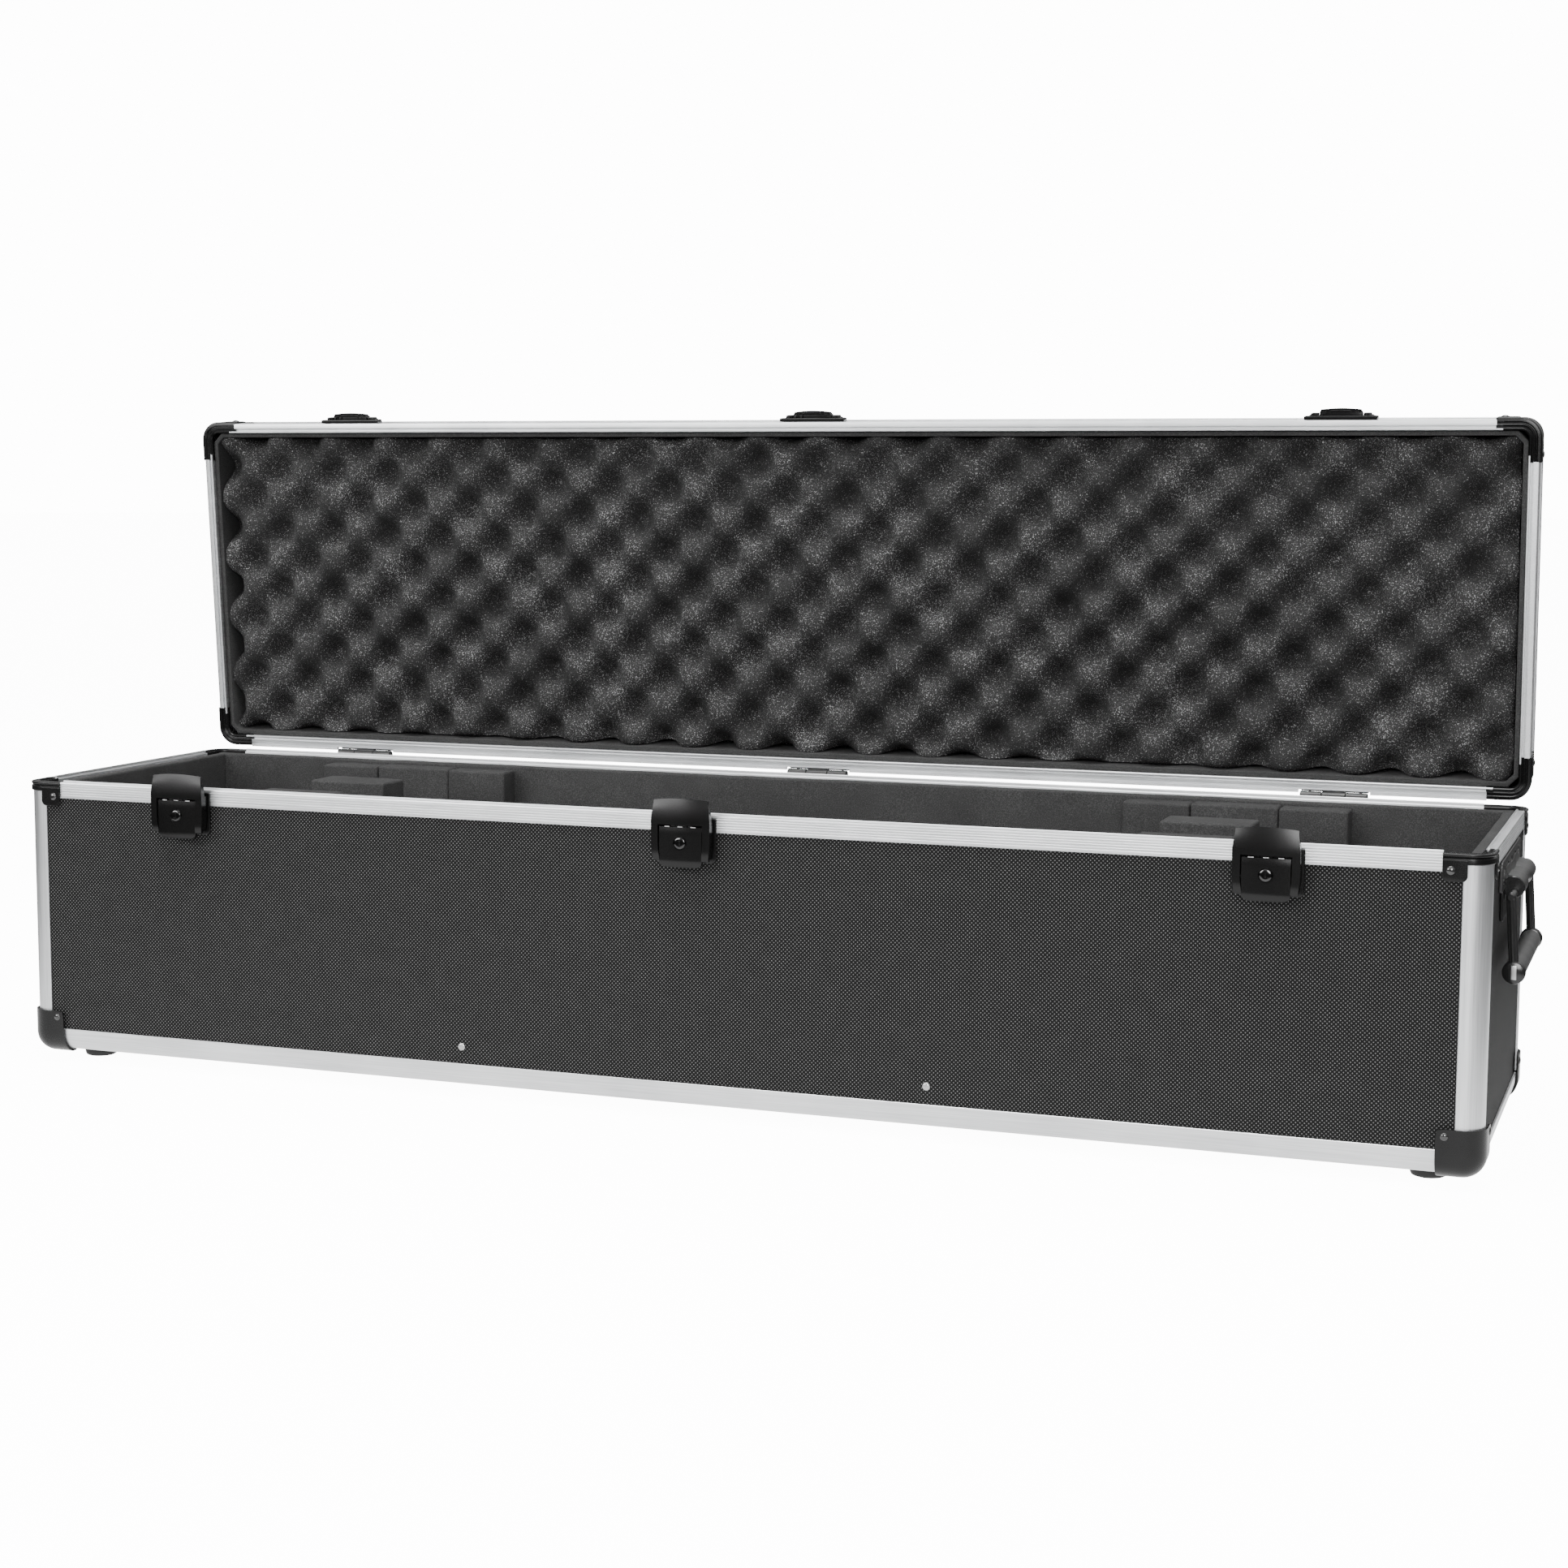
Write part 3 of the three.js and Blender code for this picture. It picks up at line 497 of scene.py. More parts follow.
def hinge_lip(builder):
    """The small lip behind the lid's rim, between the hinges."""
    ends = [x + end * HINGE_GAP for x in FITTINGS.values() for end in (-1, 1)]
    stops = [-HALF + LID_RIM_CUT, *ends, HALF - LID_RIM_CUT]
    near, far = DEPTH - 0.2, DEPTH + 2.6
    lip = [(near, 0), (far - 0.4, 0), (far, 0.4), (far, 2.6), (near, 3.4)]
    for span in zip(stops[::2], stops[1::2]):
        builder.prism([(y, LID_Z + z) for y, z in lip], "x", span)


def rim(body, mating, wall_top, cut):
    """A rim: bars between the black corners, with an inner wall that reaches into them."""
    plane, into = RIMS[body]
    board = [(0, RIM_HEIGHT), (SKIN, RIM_HEIGHT), (SKIN, RIM_SLOT_TOP), (7.3, RIM_SLOT_TOP)]
    wall = [(7.4, wall_top), (8.3, wall_top), (8.8, wall_top + 0.5), (8.8, RIM_HEIGHT), (7.4, RIM_HEIGHT)]
    made = Builder()
    for section, short in ((grooved_face() + board + mating, cut), (wall, RIM_WALL_CUT)):
        bars(made, [(inset, plane + into * far) for inset, far in section], short)
    if body == "lid":
        hinge_lip(made)
    made.piece(body + "_rim_profile", body, "aluminium_profile", FRAME_FINISH, [body + "_rim"], sharp=30)


def add_profiles():
    tongue = [(7.3, 1.5), (7.0, 1.5), (7.0, -0.8), (6.7, -1.2), (5.5, -1.2), (5.2, -0.8), (5.2, 0)]
    groove = [(7.3, 3), (4.8, 3), (4.8, 0)]
    rim("base", tongue, 1.5, BASE_RIM_CUT)
    rim("lid", groove, -1.2, LID_RIM_CUT)
    bottom = Builder()
    bars(bottom, edge_profile(BASE_Z), BOTTOM_CUT)
    bottom.piece("bottom_profile", "base", "aluminium_profile", FRAME_FINISH, ["bottom_edge_frame"], sharp=30)

    outer = [(0.4, LID_LEG), (0, LID_LEG - 0.4)] + rounded_angle() + [(LID_LEG - 0.4, 0), (LID_LEG, 0.4)]
    inner = [(LID_LEG, SKIN)] + rounded_angle(EDGE_RADIUS - SKIN)[::-1] + [(SKIN, LID_LEG)]
    lid = Builder()
    bars(lid, [(inset, LID_TOP - below) for inset, below in outer + inner], LID_EDGE_CUT)
    lid.piece("lid_edge_profile", "lid", "aluminium_profile", FRAME_FINISH, ["lid_edge_frame"], sharp=30)

    for place, (side, rear) in CORNERS.items():
        at = corner_place(side, rear)
        outline = [at(x, y, 0)[:2] for x, y in edge_profile(0)]
        post = Builder()
        post.prism(outline, "z", (BASE_Z + EDGE_LEG + 0.3, RIM_TOP - COLLAR - 0.2))
        node = "corner_post_" + place
        post.piece("post_" + place, "base", "aluminium_profile", [ALONG_Z], [node], sharp=30)


# ---- Black corners ----
CORNER_REACH = 35.7
CORNER_PROUD = 1.8
TAB_WIDTH = 18.4
BALL_REACH = 36.0
BALL_HEIGHT = 37.0
BALL_PROUD = 2.5
BALL_WALL = 1.5
FOOT_INSET = 43.0


def corner_place(side, rear):
    """Turns (inset from the end, inset from the face, z) into case coordinates."""
    return lambda a, b, z: (side * (HALF - a), DEPTH - b if rear else b, z)


def collar_section(body):
    """A rim corner's band as (inset, distance from the mating plane): ridged inside on the lid."""
    if body == "lid":
        first, step, trough, pitch, swing = 8.9, 0.42, 7.4, 3.1, 0.6
        section = [(9.1, 4.0), (9.1, swing)]
        for inset in [first - step * i for i in range(20)]:
            section.append((inset, swing - swing * cos(tau * (inset - trough) / pitch)))
    else:
        section = [(9.1, 4.0), (9.1, 1.6), (8.6, 1.1), (5.4, 1.1), (5.0, 0), (1.6, 0), (1.2, 0.5)]
        section += [(0.7, 0.5), (0.4, 0)]
    section += [(-0.4 + p, 1.4 - q) for p, q in arc((0, 0), 1.4, 110, 270, 8)]
    section += [(-0.5, 3.1), (-0.9, 3.5), (-1.5, 4.0), (-1.6, 4.6), (-1.6, COLLAR - 0.6), (-1.1, COLLAR)]
    return section + [(SKIN, COLLAR), (SKIN, 6.4), (7.0, 6.4), (7.0, 4.0)]


def rim_corner(place, side, rear, body):
    """A band round a rim's corner with a beaded edge, and a riveted tab on each face."""
    at = corner_place(side, rear)
    plane, into = RIMS[body]
    made = Builder()
    section = [(inset, plane + into * far) for inset, far in collar_section(body)]

    def bent(inset, z, t):
        radius = max(EDGE_RADIUS - inset, 0.4)
        centre = inset + radius
        return at(centre - radius * sin(t), centre - radius * cos(t), z)

    rows = [[at(CORNER_REACH, inset, z) for inset, z in section]]
    rows += [[bent(inset, z, radians(turn)) for inset, z in section] for turn in range(0, 91, 9)]
    rows += [[at(inset, CORNER_REACH, z) for inset, z in section]]
    made.rows(rows, True)

    low, high = sorted((plane + into * 5.0, plane + into * (RIM_HEIGHT + 7)))
    soft = [0.6, 0.6, 4.4, 4.4] if into < 0 else [4.4, 4.4, 0.6, 0.6]
    near, far = CORNER_REACH - TAB_WIDTH, CORNER_REACH
    spans = [sorted(pair) for pair in zip(at(near, near, 0), at(far, far, 0))]
    faces = [sorted(pair) for pair in zip(at(-0.3, -0.3, 0), at(-CORNER_PROUD, -CORNER_PROUD, 0))]
    made.plate([rounded_outline(*spans[0], low, high, soft)], "y", faces[1], 0.35)
    made.plate([rounded_outline(*spans[1], low, high, soft)], "x", faces[0], 0.35)
    along, face, rivet = CORNER_REACH - 6.2, 0.1 - CORNER_PROUD, plane + into * 12.9
    made.dome(at(along, face, rivet), "y", 1 if rear else -1, 3.4, 1.5, 1)
    made.dome(at(face, along, rivet), "x", side, 3.4, 1.5, 1)
    name, node = body + "_rim_cap_" + place, body + "_rim_corner_" + place
    made.piece(name, body, "black_corner_plastic", CORNER_FINISH, [node], sharp=38)


def ball_corner(name, side, rear, level, up, body, replaces, proud):
    """A moulded cap over a corner of the case: three rounded leaves, and rivets."""
    at = corner_place(side, rear)
    made = Builder()
    radius = EDGE_RADIUS + proud
    limits = (BALL_REACH - 1.5, BALL_REACH - 1.5, BALL_HEIGHT)
    divisions = 14

    def point(q, size):
        core = Vector(max(c, EDGE_RADIUS) for c in q)
        p = core - (core - Vector(q)).normalized() * size
        return at(p[0], p[1], level + up * p[2])

    parts = [i / divisions for i in range(divisions + 1)]
    for k, axis in enumerate("xyz"):
        a, b = [limits[i] + proud for i in range(3) if i != k]

        def leaf(s, t, size):
            """A leaf's point, its far corner pulled in, most on the horizontal leaf."""
            pull = 1 - (0.24 * (s * t) ** 3 if axis == "z" else 0.03 * (s * t) ** 9)
            return point(on_axis(axis, a * s * pull - proud, b * t * pull - proud, -proud), size)

        for size in (radius, radius - BALL_WALL):
            made.rows([[leaf(s, t, size) for t in parts] for s in parts])
    bmesh.ops.remove_doubles(made.bm, verts=made.bm.verts, dist=MERGE)
    bmesh.ops.bridge_loops(made.bm, edges=[e for e in made.bm.edges if len(e.link_faces) == 1])
    along, face, rivet = BALL_REACH - 8, 0.1 - proud, level + up * (BALL_HEIGHT - 5.6)
    made.dome(at(along, face, rivet), "y", 1 if rear else -1, 3.2, 1.4, 1)
    made.dome(at(face, along, rivet), "x", side, 3.2, 1.4, 1)
    made.piece(name, body, "black_corner_plastic", CORNER_FINISH, replaces, bevel=0.3, sharp=40)


def foot(place, side, rear):
    """A rubber foot with a screw in its recess."""
    centre = corner_place(side, rear)(FOOT_INSET, FOOT_INSET, 0)[:2]
    made = Builder()
    profile = [(0.3, 9.7), (15, 9.7), (15, 9.0), (14.7, 5.0), (14.2, 2.4), (13.5, 0.8), (12.3, 0.1)]
    profile += [(11.5, 0.0), (6.0, 0.0), (5.3, 0.3), (5.0, 1.0), (5.0, 4.0), (0.3, 4.0)]
    made.lathe(profile, "z", centre, 40)
    made.lathe([(3.6, 4.2), (3.6, 3.4), (3.2, 3.0), (0.2, 2.8)], "z", centre, 24, 1)
    finish = [FOOT_RUBBER, SCREW_STEEL]
    made.piece("rubber_foot_" + place, "base", "foot_rubber", finish, ["foot_" + place], sharp=40)


def add_corners():
    for place, (side, rear) in CORNERS.items():
        rim_corner(place, side, rear, "base")
        rim_corner(place, side, rear, "lid")
        stands_for = ["bottom_corner_" + place]
        ball_corner("bottom_cap_" + place, side, rear, BASE_Z, 1, "base", stands_for, BALL_PROUD)
        ball_corner("lid_cap_" + place, side, rear, LID_TOP, -1, "lid", [], 0.0)
        foot(place, side, rear)


def add_screws():
    """Two screws through the front board."""
    out, height = 207.0, BASE_Z + 35
    head = [(3.4, 0.3), (3.4, -0.2), (3.0, -0.8), (1.8, -1.1), (0.2, -1.15)]
    for label, side in SIDES.items():
        made = Builder()
        made.lathe([(r, BOARD_INSET + s) for r, s in head], "y", (side * out, height), 28)
        made.piece("front_screw_" + label, "base", "hinge_steel", [SCREW_STEEL], sharp=50)


# ---- Hinges ----
LEAF_HALF = 29.0
KNUCKLE_HALF = 10.5  # of the lid's knuckle, between the base's two
LEAF_FACES = (320.3, 321.9)


def add_hinges():
    axis = (PIN_Y, RIM_TOP)
    for place, x in FITTINGS.items():
        left, right = x - LEAF_HALF, x + LEAF_HALF
        for body, up in (("base", -1), ("lid", 1)):
            made = Builder()
            low, high = sorted((RIM_TOP + up * 5, RIM_TOP + up * 13))
            edge = [0.5, 0.5, 2.4, 2.4] if up < 0 else [2.4, 2.4, 0.5, 0.5]
            made.plate([rounded_outline(left, right, low, high, edge)], "y", LEAF_FACES, 0.35)
            for rivet in (-22, 0, 22):
                made.dome((x + rivet, LEAF_FACES[1], RIM_TOP + up * 9.4), "y", 1, 2.1, 0.9)
            if body == "lid":
                spans = [(x - KNUCKLE_HALF + 0.3, x + KNUCKLE_HALF - 0.3)]
            else:
                spans = [(left, x - KNUCKLE_HALF), (x + KNUCKLE_HALF, right)]
                tip = [(0.2, left - 0.6), (1.2, left - 0.5), (1.6, left), (1.6, right)]
                made.lathe(tip + [(1.2, right + 0.5), (0.2, right + 0.6)], "x", axis, 20)
            for x0, x1 in spans:
                barrel = [(1.7, x0), (3.6, x0), (4, x0 + 0.4), (4, x1 - 0.4), (3.6, x1), (1.7, x1)]
                made.lathe(barrel, "x", axis, 28)
                web = sorted((RIM_TOP + up * 0.6, RIM_TOP + up * 6))
                made.block((x0, LEAF_FACES[0], web[0]), (x1, LEAF_FACES[1], web[1]), 0.3)
            name, node = f"hinge_{body}_plate_{place}", f"hinge_{body}_leaf_{place}"
            made.piece(name, body, "hinge_steel", [HINGE_STEEL], [node])


# ---- Latches, in their own frame: x from the latch's middle, y from the front face, z from the rim top ----
HOOK_FACE = -13.5
FLAP_FACE = HOOK_FACE + 0.5
KEY_FACE = HOOK_FACE - 0.3
KEY_Z = -22.4
FLAP_Y, FLAP_Z = -7.0, -9.0  # the flap's pivot
HOOK_Y, HOOK_Z = -7.5, -25.0  # the hook's pivot


def latch_plate():
    """The back plate, with the pivot's bearing and two guide lugs."""
    made = Builder()
    made.plate([rounded_outline(-27.6, 27.6, -39.5, -2.5, [1.2, 1.2, 4.5, 4.5])], "y", (-2.6, -0.3), 0.5)
    made.rod((-5, 5), 2.6, 1.9, 0.3, "x", (FLAP_Y, FLAP_Z))
    made.block((-4.9, FLAP_Y, FLAP_Z - 2.3), (4.9, -2, FLAP_Z + 2.3), 0.4)
    for low, high in mirrored(19.7, 22):
        made.block((low, -6.4, -15.5), (high, -1, -6.8), 0.4)
    return made


def latch_flap():
    """The lever: a crowned flap with three thin bright steel rods as painted highlights on its knuckles, and
    lugs for the hook.
    """
    half, top, bottom, corner = 18.8, -9.4, -42.5, 4.6
    made = Builder()
    faces = (FLAP_FACE, FLAP_FACE + 3)
    made.cells(spread(-half, half, 2.4), spread(bottom, top, 2.1), lambda u, v: True, "y", faces)

    def shape(a, b, c):
        fall = max(0.0, bottom + corner - c)
        inset = corner - sqrt(max(corner * corner - fall * fall, 0.0))
        a *= (half - inset) / half
        crown = 1.3 * (a / half) ** 2 + 0.4 * ease((c + 14) / 5) + 0.8 * ease((-37.5 - c) / 5)
        return a, b + crown, c

    made.warp(shape)
    for low, high in mirrored(5.4, 9.5):
        made.rod((low, high), 2.4, 1.8, 0.3, "x", (FLAP_Y, FLAP_Z))
        made.block((low, FLAP_FACE + 2, FLAP_Z - 2.6), (high, FLAP_Y, FLAP_Z - 0.4), 0.4)
    # Thin bright steel rods in the gap under the hook bar: painted highlights on the lever's black knuckles.
    for middle in (-11.5, 0, 11.5):
        made.rod((middle - 2.3, middle + 2.3), 0.42, 0.25, 0.3, "x", (FLAP_FACE + 1.0, -9.1), 14, 1)
    for low, high in mirrored(12.5, 17.5):
        made.block((low, FLAP_FACE + 2, HOOK_Z - 2.4), (high, HOOK_Y + 2, HOOK_Z + 2.4), 0.6)
    for low, high in mirrored(13, 23.5):
        made.lathe([(1.4, low), (1.4, high)], "x", (HOOK_Y, HOOK_Z), 16)
    return made


def latch_ring():
    """The bright ring pressed into the flap round the key."""
    made = Builder()
    ring = [(5.0, 1.5), (5.0, -0.5), (5.2, -0.8), (5.5, -0.8), (5.7, -0.5), (5.8, 1.5), (5.0, 1.5)]
    made.lathe([(r, FLAP_FACE + s) for r, s in ring], "y", (0, KEY_Z), 40)
    return made


def latch_hook():
    """The frame round the flap, whose top curls over the rim towards the catch."""
    half, window, side_wall = 25.7, 19.5, 2.4
    top, bottom, bar = 14.0, -37.0, -7.6
    back = HOOK_FACE + 2.9
    us = [-half, -23.6, -21.5, -window] + spread(-16.5, 16.5, 3.3) + [window, 21.5, 23.6, half]
    vs = spread(bottom, bar, 2.9) + spread(-5.2, top, 1.92)
    made = Builder()
    made.cells(us, vs, lambda u, v: v > bar or abs(u) > window, "y", (HOOK_FACE, back))
    us, vs = spread(back, -4.2, 1.6), spread(bottom + 1.5, 6.0, 2.8)
    for span in mirrored(window + side_wall, half):
        made.cells(us, vs, lambda u, v: v < -4 or u < HOOK_FACE + 6, "x", span)

    def shape(a, b, c):
        narrow = 1 - 0.07 * ease((c + 6) / 20) - 0.055 * ease((-24 - c) / 13)
        crown = 1.5 * (a / half) ** 2 + 1.0 * ease((-32 - c) / 5)
        curl = 2.1 * max(0.0, (c + 5) / 19) ** 1.6 if b < -12 else 0.0
        lift = -1.8 * (a / half) ** 2 * ease((c - 4) / 10)
        return a * narrow, b + crown * (1 if b < -9 else 0.3) + curl, c + lift

    made.warp(shape)
    return made


def latch_key():
    """The key cylinder: a dished face with a raised bar for the slot."""
    made = Builder()
    cylinder = [(4.8, 5.3), (4.8, 0.3), (4.4, 0), (2.6, 0), (2.4, 0.5), (0.2, 0.5)]
    made.lathe([(r, KEY_FACE + s) for r, s in cylinder], "y", (0, KEY_Z), 36)
    made.block((-0.7, KEY_FACE + 0.2, KEY_Z - 2.1), (0.7, KEY_FACE + 1.2, KEY_Z + 2.1), 0.2, slot=1)
    return made


def add_latches():
    coat, chrome = "latch_black_metal", "lock_black_chrome"
    for place, x in FITTINGS.items():
        flap, hook, key = "latch_flap_" + place, "latch_hook_" + place, "lock_key_" + place
        plate_node, key_node = "latch_plate_" + place, "key_cylinder_" + place
        parts = (
            (latch_plate(), "latch_back_", "base", coat, [LATCH_COAT], [plate_node], 0.0, 38),
            (latch_flap(), "latch_lever_", flap, coat, [LATCH_COAT, SCREW_STEEL], [flap], 0.6, 38),
            (latch_ring(), "latch_key_ring_", flap, chrome, [LOCK_CHROME], [], 0.0, 50),
            (latch_hook(), "latch_bow_", hook, coat, [LATCH_COAT], [hook], 0.7, 38),
            (latch_key(), "latch_key_", key, chrome, [LOCK_CHROME, LATCH_COAT], [key_node], 0.0, 40),
        )
        for made, name, body, slot, finish, replaces, bevel, sharp in parts:
            made.warp(lambda a, b, c: (a + x, b, c + RIM_TOP))
            made.piece(name + place, body, slot, finish, replaces, bevel=bevel, sharp=sharp)


# ---- Catches on the lid ----
# One kind of block a row: places along x, half width, front, back, bottom, top, edge radius.
CATCH_BLOCKS = (
    ((0,), 18.2, -6.6, -0.4, 1.2, 9.8, 0.5),
    ((0,), 8, -7.8, -6.2, 3.7, 6.3, 0.4),
    ((-11.6, -10, 10, 11.6), 0.4, -8.6, -6.2, 3.2, 6.8, 0.2),
    ((-22.4, 22.4), 3.2, -6.0, -0.4, 1.4, 9.4, 0.6),
    ((-21.5,), 0.45, -5.4, -1.6, 0.3, 1.8, 0.2),
    ((-15.6, -13.6, 13.6, 15.6), 0.45, -8.2, -1.6, 0.3, 1.8, 0.2),
    ((21.5,), 0.45, -5.4, -1.6, 0.3, 1.8, 0.2),
    ((0,), 9.6, -8.4, -7.5, 0.2, 1.8, 0.2),
    ((0,), 9.6, -3.4, -2.5, 0.2, 1.8, 0.2),
    ((-9.2, 9.2), 0.45, -8.4, -2.5, 0.2, 1.8, 0.2),
)


def add_catches():
    """A riveted flange, and a bar with a window that the latch's hook takes hold of."""
    low = LID_Z + 1
    for place, x in FITTINGS.items():
        made = Builder()
        flange = [(-31, 0), (31, 0), (31, 8), (27, 15), (-27, 15), (-31, 8)]
        made.plate([[(x + u, low + v) for u, v in flange]], "y", (-3.4, -0.3), 0.6)
        for rivet in (-25, 25):
            made.dome((x + rivet, -3.4, low + 7.4), "y", -1, 2.6, 1.3)
        start = len(made.bm.verts)
        us = [x + u for u in spread(-18.5, -13.5, 2.5) + spread(-10.8, 10.8, 3.6) + spread(13.5, 18.5, 2.5)]
        vs = [low + v for v in (1, 3, 5, 7, 8.5, 10)]
        made.cells(us, vs, lambda u, v: not (abs(u - x) < 13.5 and 3 < v - low < 7), "y", (-10, -6.2))
        for middles, half, front, back, bottom, top, radius in CATCH_BLOCKS:
            for u in middles:
                made.block((x + u - half, front, low + bottom), (x + u + half, back, low + top), radius)

        def shape(a, b, c):
            lean = 2.0 * ease((c - low - 6) / 4)
            crown = 1.2 * ((a - x) / 18.5) ** 2
            narrow = 1 - 0.1 * ease((-b - 4) / 6)
            return x + (a - x) * narrow, b + (lean + crown if b < -6.4 else 0), c

        made.warp(shape, start)
        node = "lid_catch_" + place
        made.piece("catch_" + place, "lid", "latch_black_metal", [LATCH_COAT], [node], bevel=0.4, sharp=38)


# ---- End handles, written for the left end ----
ROD_X = -HALF - 8.0
ROD_Z = RIM_TOP - 42
GRIP_X = -HALF - 12.0
GRIP_Z = RIM_TOP - 100
ARM = 82.0  # from the middle to each strap
FLANGE_FACE = -HALF + 1.6


def saddle_row(radius):
    """The saddle's section as (x, height from the roll's middle): off the flange, round the rod, back."""
    face, centre = FLANGE_FACE, ROD_X + 0.6
    row = [(face - 0.5, radius + 7.0), (face - 2.8, radius + 6.0), (face - 3.3, radius + 3.0)]
    row += [(face - 4.6, radius + 0.6)]
    for turn in map(radians, range(75, -76, -15)):
        row.append((centre - radius * cos(turn), radius * sin(turn)))
    return row + [(face - 4.6, -radius - 0.4), (face - 3.0, -radius - 2.2), (face - 0.5, -radius - 2.6)]


def handle_mount():
    """A perforated flange, a sheet curled over the rod, and a ribbed backing plate."""
    face = FLANGE_FACE
    proud, back = face - 2.6, face - 0.1
    top, bottom = RIM_TOP - 16, RIM_TOP - 40
    left, right = MIDDLE - 80, MIDDLE + 80
    hole_pitch = 31.5
    made = Builder()
    outlines = [rounded_outline(left, right, bottom, top, [5, 5, 1, 1])]
    for i in range(5):
        y, z = MIDDLE + (i - 2) * hole_pitch, top - 9
        outlines.append(arc((y + 3.4, z), 3.6, 90, -90, 8) + arc((y - 3.4, z), 3.6, 270, 90, 8))
    made.plate(outlines, "x", (proud, face), 0.6, 1)
    left, right = left + 1, right - 1
    backing = [(left, bottom + 1), (right, bottom + 1), (right, top - 1), (left, top - 1)]
    made.prism(backing, "x", (face - 0.6, back))

    count, steps, half = 30, 6, 65.4
    ribs = []
    for i in range(count * steps + 1):
        y = MIDDLE - half + 2 * half * i / (count * steps)
        ribs.append((face - 1.7 - 0.9 * abs(sin(pi * i / steps)) ** 0.7, y))
    ribs += [(back, MIDDLE + half), (back, MIDDLE - half)]
    made.prism(ribs, "z", (RIM_TOP - 62.4, RIM_TOP - 38))
    made.block((proud, MIDDLE - 66, RIM_TOP - 64), (back, MIDDLE + 66, RIM_TOP - 61.6), 0.7)
    for y0, y1 in mirrored(63.8, 66):
        made.block((proud, MIDDLE + y0, RIM_TOP - 63.5), (back, MIDDLE + y1, RIM_TOP - 38), 0.7)

    rows = []
    roll = ROD_Z + 3.5
    for y in spread(-53, 53, 2.0):
        radius = 6.6 + 2.0 * ease((abs(y) - 15) / 7)
        rows.append([(x, MIDDLE + y, roll + z) for x, z in saddle_row(radius)])
    made.rows(rows, True, 1)
    for y0, y1 in mirrored(52.6, 54.6):
        lip = [(4.6, y0), (7.9, y0), (8.5, y0 + 0.5), (8.5, y1 - 0.5), (7.9, y1), (4.6, y1), (4.6, y0)]
        made.lathe([(radius, MIDDLE + y) for radius, y in lip], "y", (ROD_X + 0.6, roll))
    for y in (-72, 72):
        made.dome((proud, MIDDLE + y, top - 16.5), "x", -1, 2.6, 1.0)
    return made


def handle_bail():
    """Two straps hung on the rod, and a round grip with capped ends."""
    pivot, grip = (ROD_X, ROD_Z), (GRIP_X, GRIP_Z)
    made = Builder()
    rod_end = ARM + 3.4
    made.rod((MIDDLE - rod_end, MIDDLE + rod_end), 3, 2.4, 0.8, "y", pivot)
    lean = degrees(atan2(pivot[1] - grip[1], pivot[0] - grip[0]))
    cap = [(1, -3.6), (7.4, -3.6), (8.7, -2.8), (8.95, -1.8)]
    cap += [(radius, -along) for radius, along in reversed(cap)]
    for end in (-1, 1):
        y = MIDDLE + end * ARM
        for radius, steps, half, bevel in ((3.6, 12, 2.2, 0.8), (1.5, 8, 3.0, 0.6)):
            strap = arc(pivot, radius, lean - 90, lean + 90, steps)
            strap += arc(grip, radius, lean + 90, lean + 270, steps)
            made.plate([strap], "y", (y - half, y + half), bevel)
        tip = [(grip[0] + u, grip[1] + v) for u, v in ((-2.2, -5.5), (2.2, -5.5), (2.2, 5.5), (-2.2, 5.5))]
        made.plate([tip], "y", (y - 4.1, y + 4.1), 0.5, 2)
        made.lathe([(radius, y + along) for radius, along in cap], "y", grip, 40)
    length = ARM - 3.2
    profile = [(1, -length), (7.0, -length), (7.0, -length + 2), (7.7, -length + 3), (8.0, -length + 5)]
    profile += [(8.0, 0)] + [(r, -s) for r, s in reversed(profile)]
    made.lathe([(r, MIDDLE + s) for r, s in profile], "y", grip, 40, 1)
    return made


def add_handles():
    black = "handle_black"
    bail_finish = [HANDLE_COAT, GRIP_VINYL, SCREW_STEEL]
    for place, side in SIDES.items():
        mount, bail = handle_mount(), handle_bail()
        if side > 0:
            for part in (mount, bail):
                part.warp(lambda a, b, c: (-a, b, c))
        saddle, loop = "handle_saddle_" + place, "handle_loop_" + place
        mount.piece(saddle, "base", black, [HANDLE_COAT, SADDLE_COAT], ["handle_mount_" + place], sharp=38)
        bail.piece(loop, "bail_" + place, black, bail_finish, ["handle_bail_" + place], sharp=38)


# ---- Foam ----
WALL_OUT, WALL_IN = 9.1, 19.1  # the wall foam's faces, from the case's faces
FLOOR_LOW, FLOOR_HIGH = 19.1, 31.1
FOAM_LOW = 31.4  # what stands on the floor foam
FOAM_TOP = 252.0


def soften(builder, amount, scale):
    """Uneven cut faces, as soft foam has."""

    def move(a, b, c):
        p = Vector((a, b, c)) * scale
        return tuple(v + amount * noise.noise(p + Vector((31.7 * i, 0, 0))) for i, v in enumerate((a, b, c)))

    builder.warp(move)


def foam_block(name, node, low, high, radius, step, amount, scale):
    """A block of liner foam with rounded, slightly uneven faces."""
    made = Builder()
    made.block(low, high, radius, step)
    soften(made, amount, scale)
    made.piece(name, "base", "liner_foam", [LINER_FOAM], [node], pad=1.0, sharp=60)


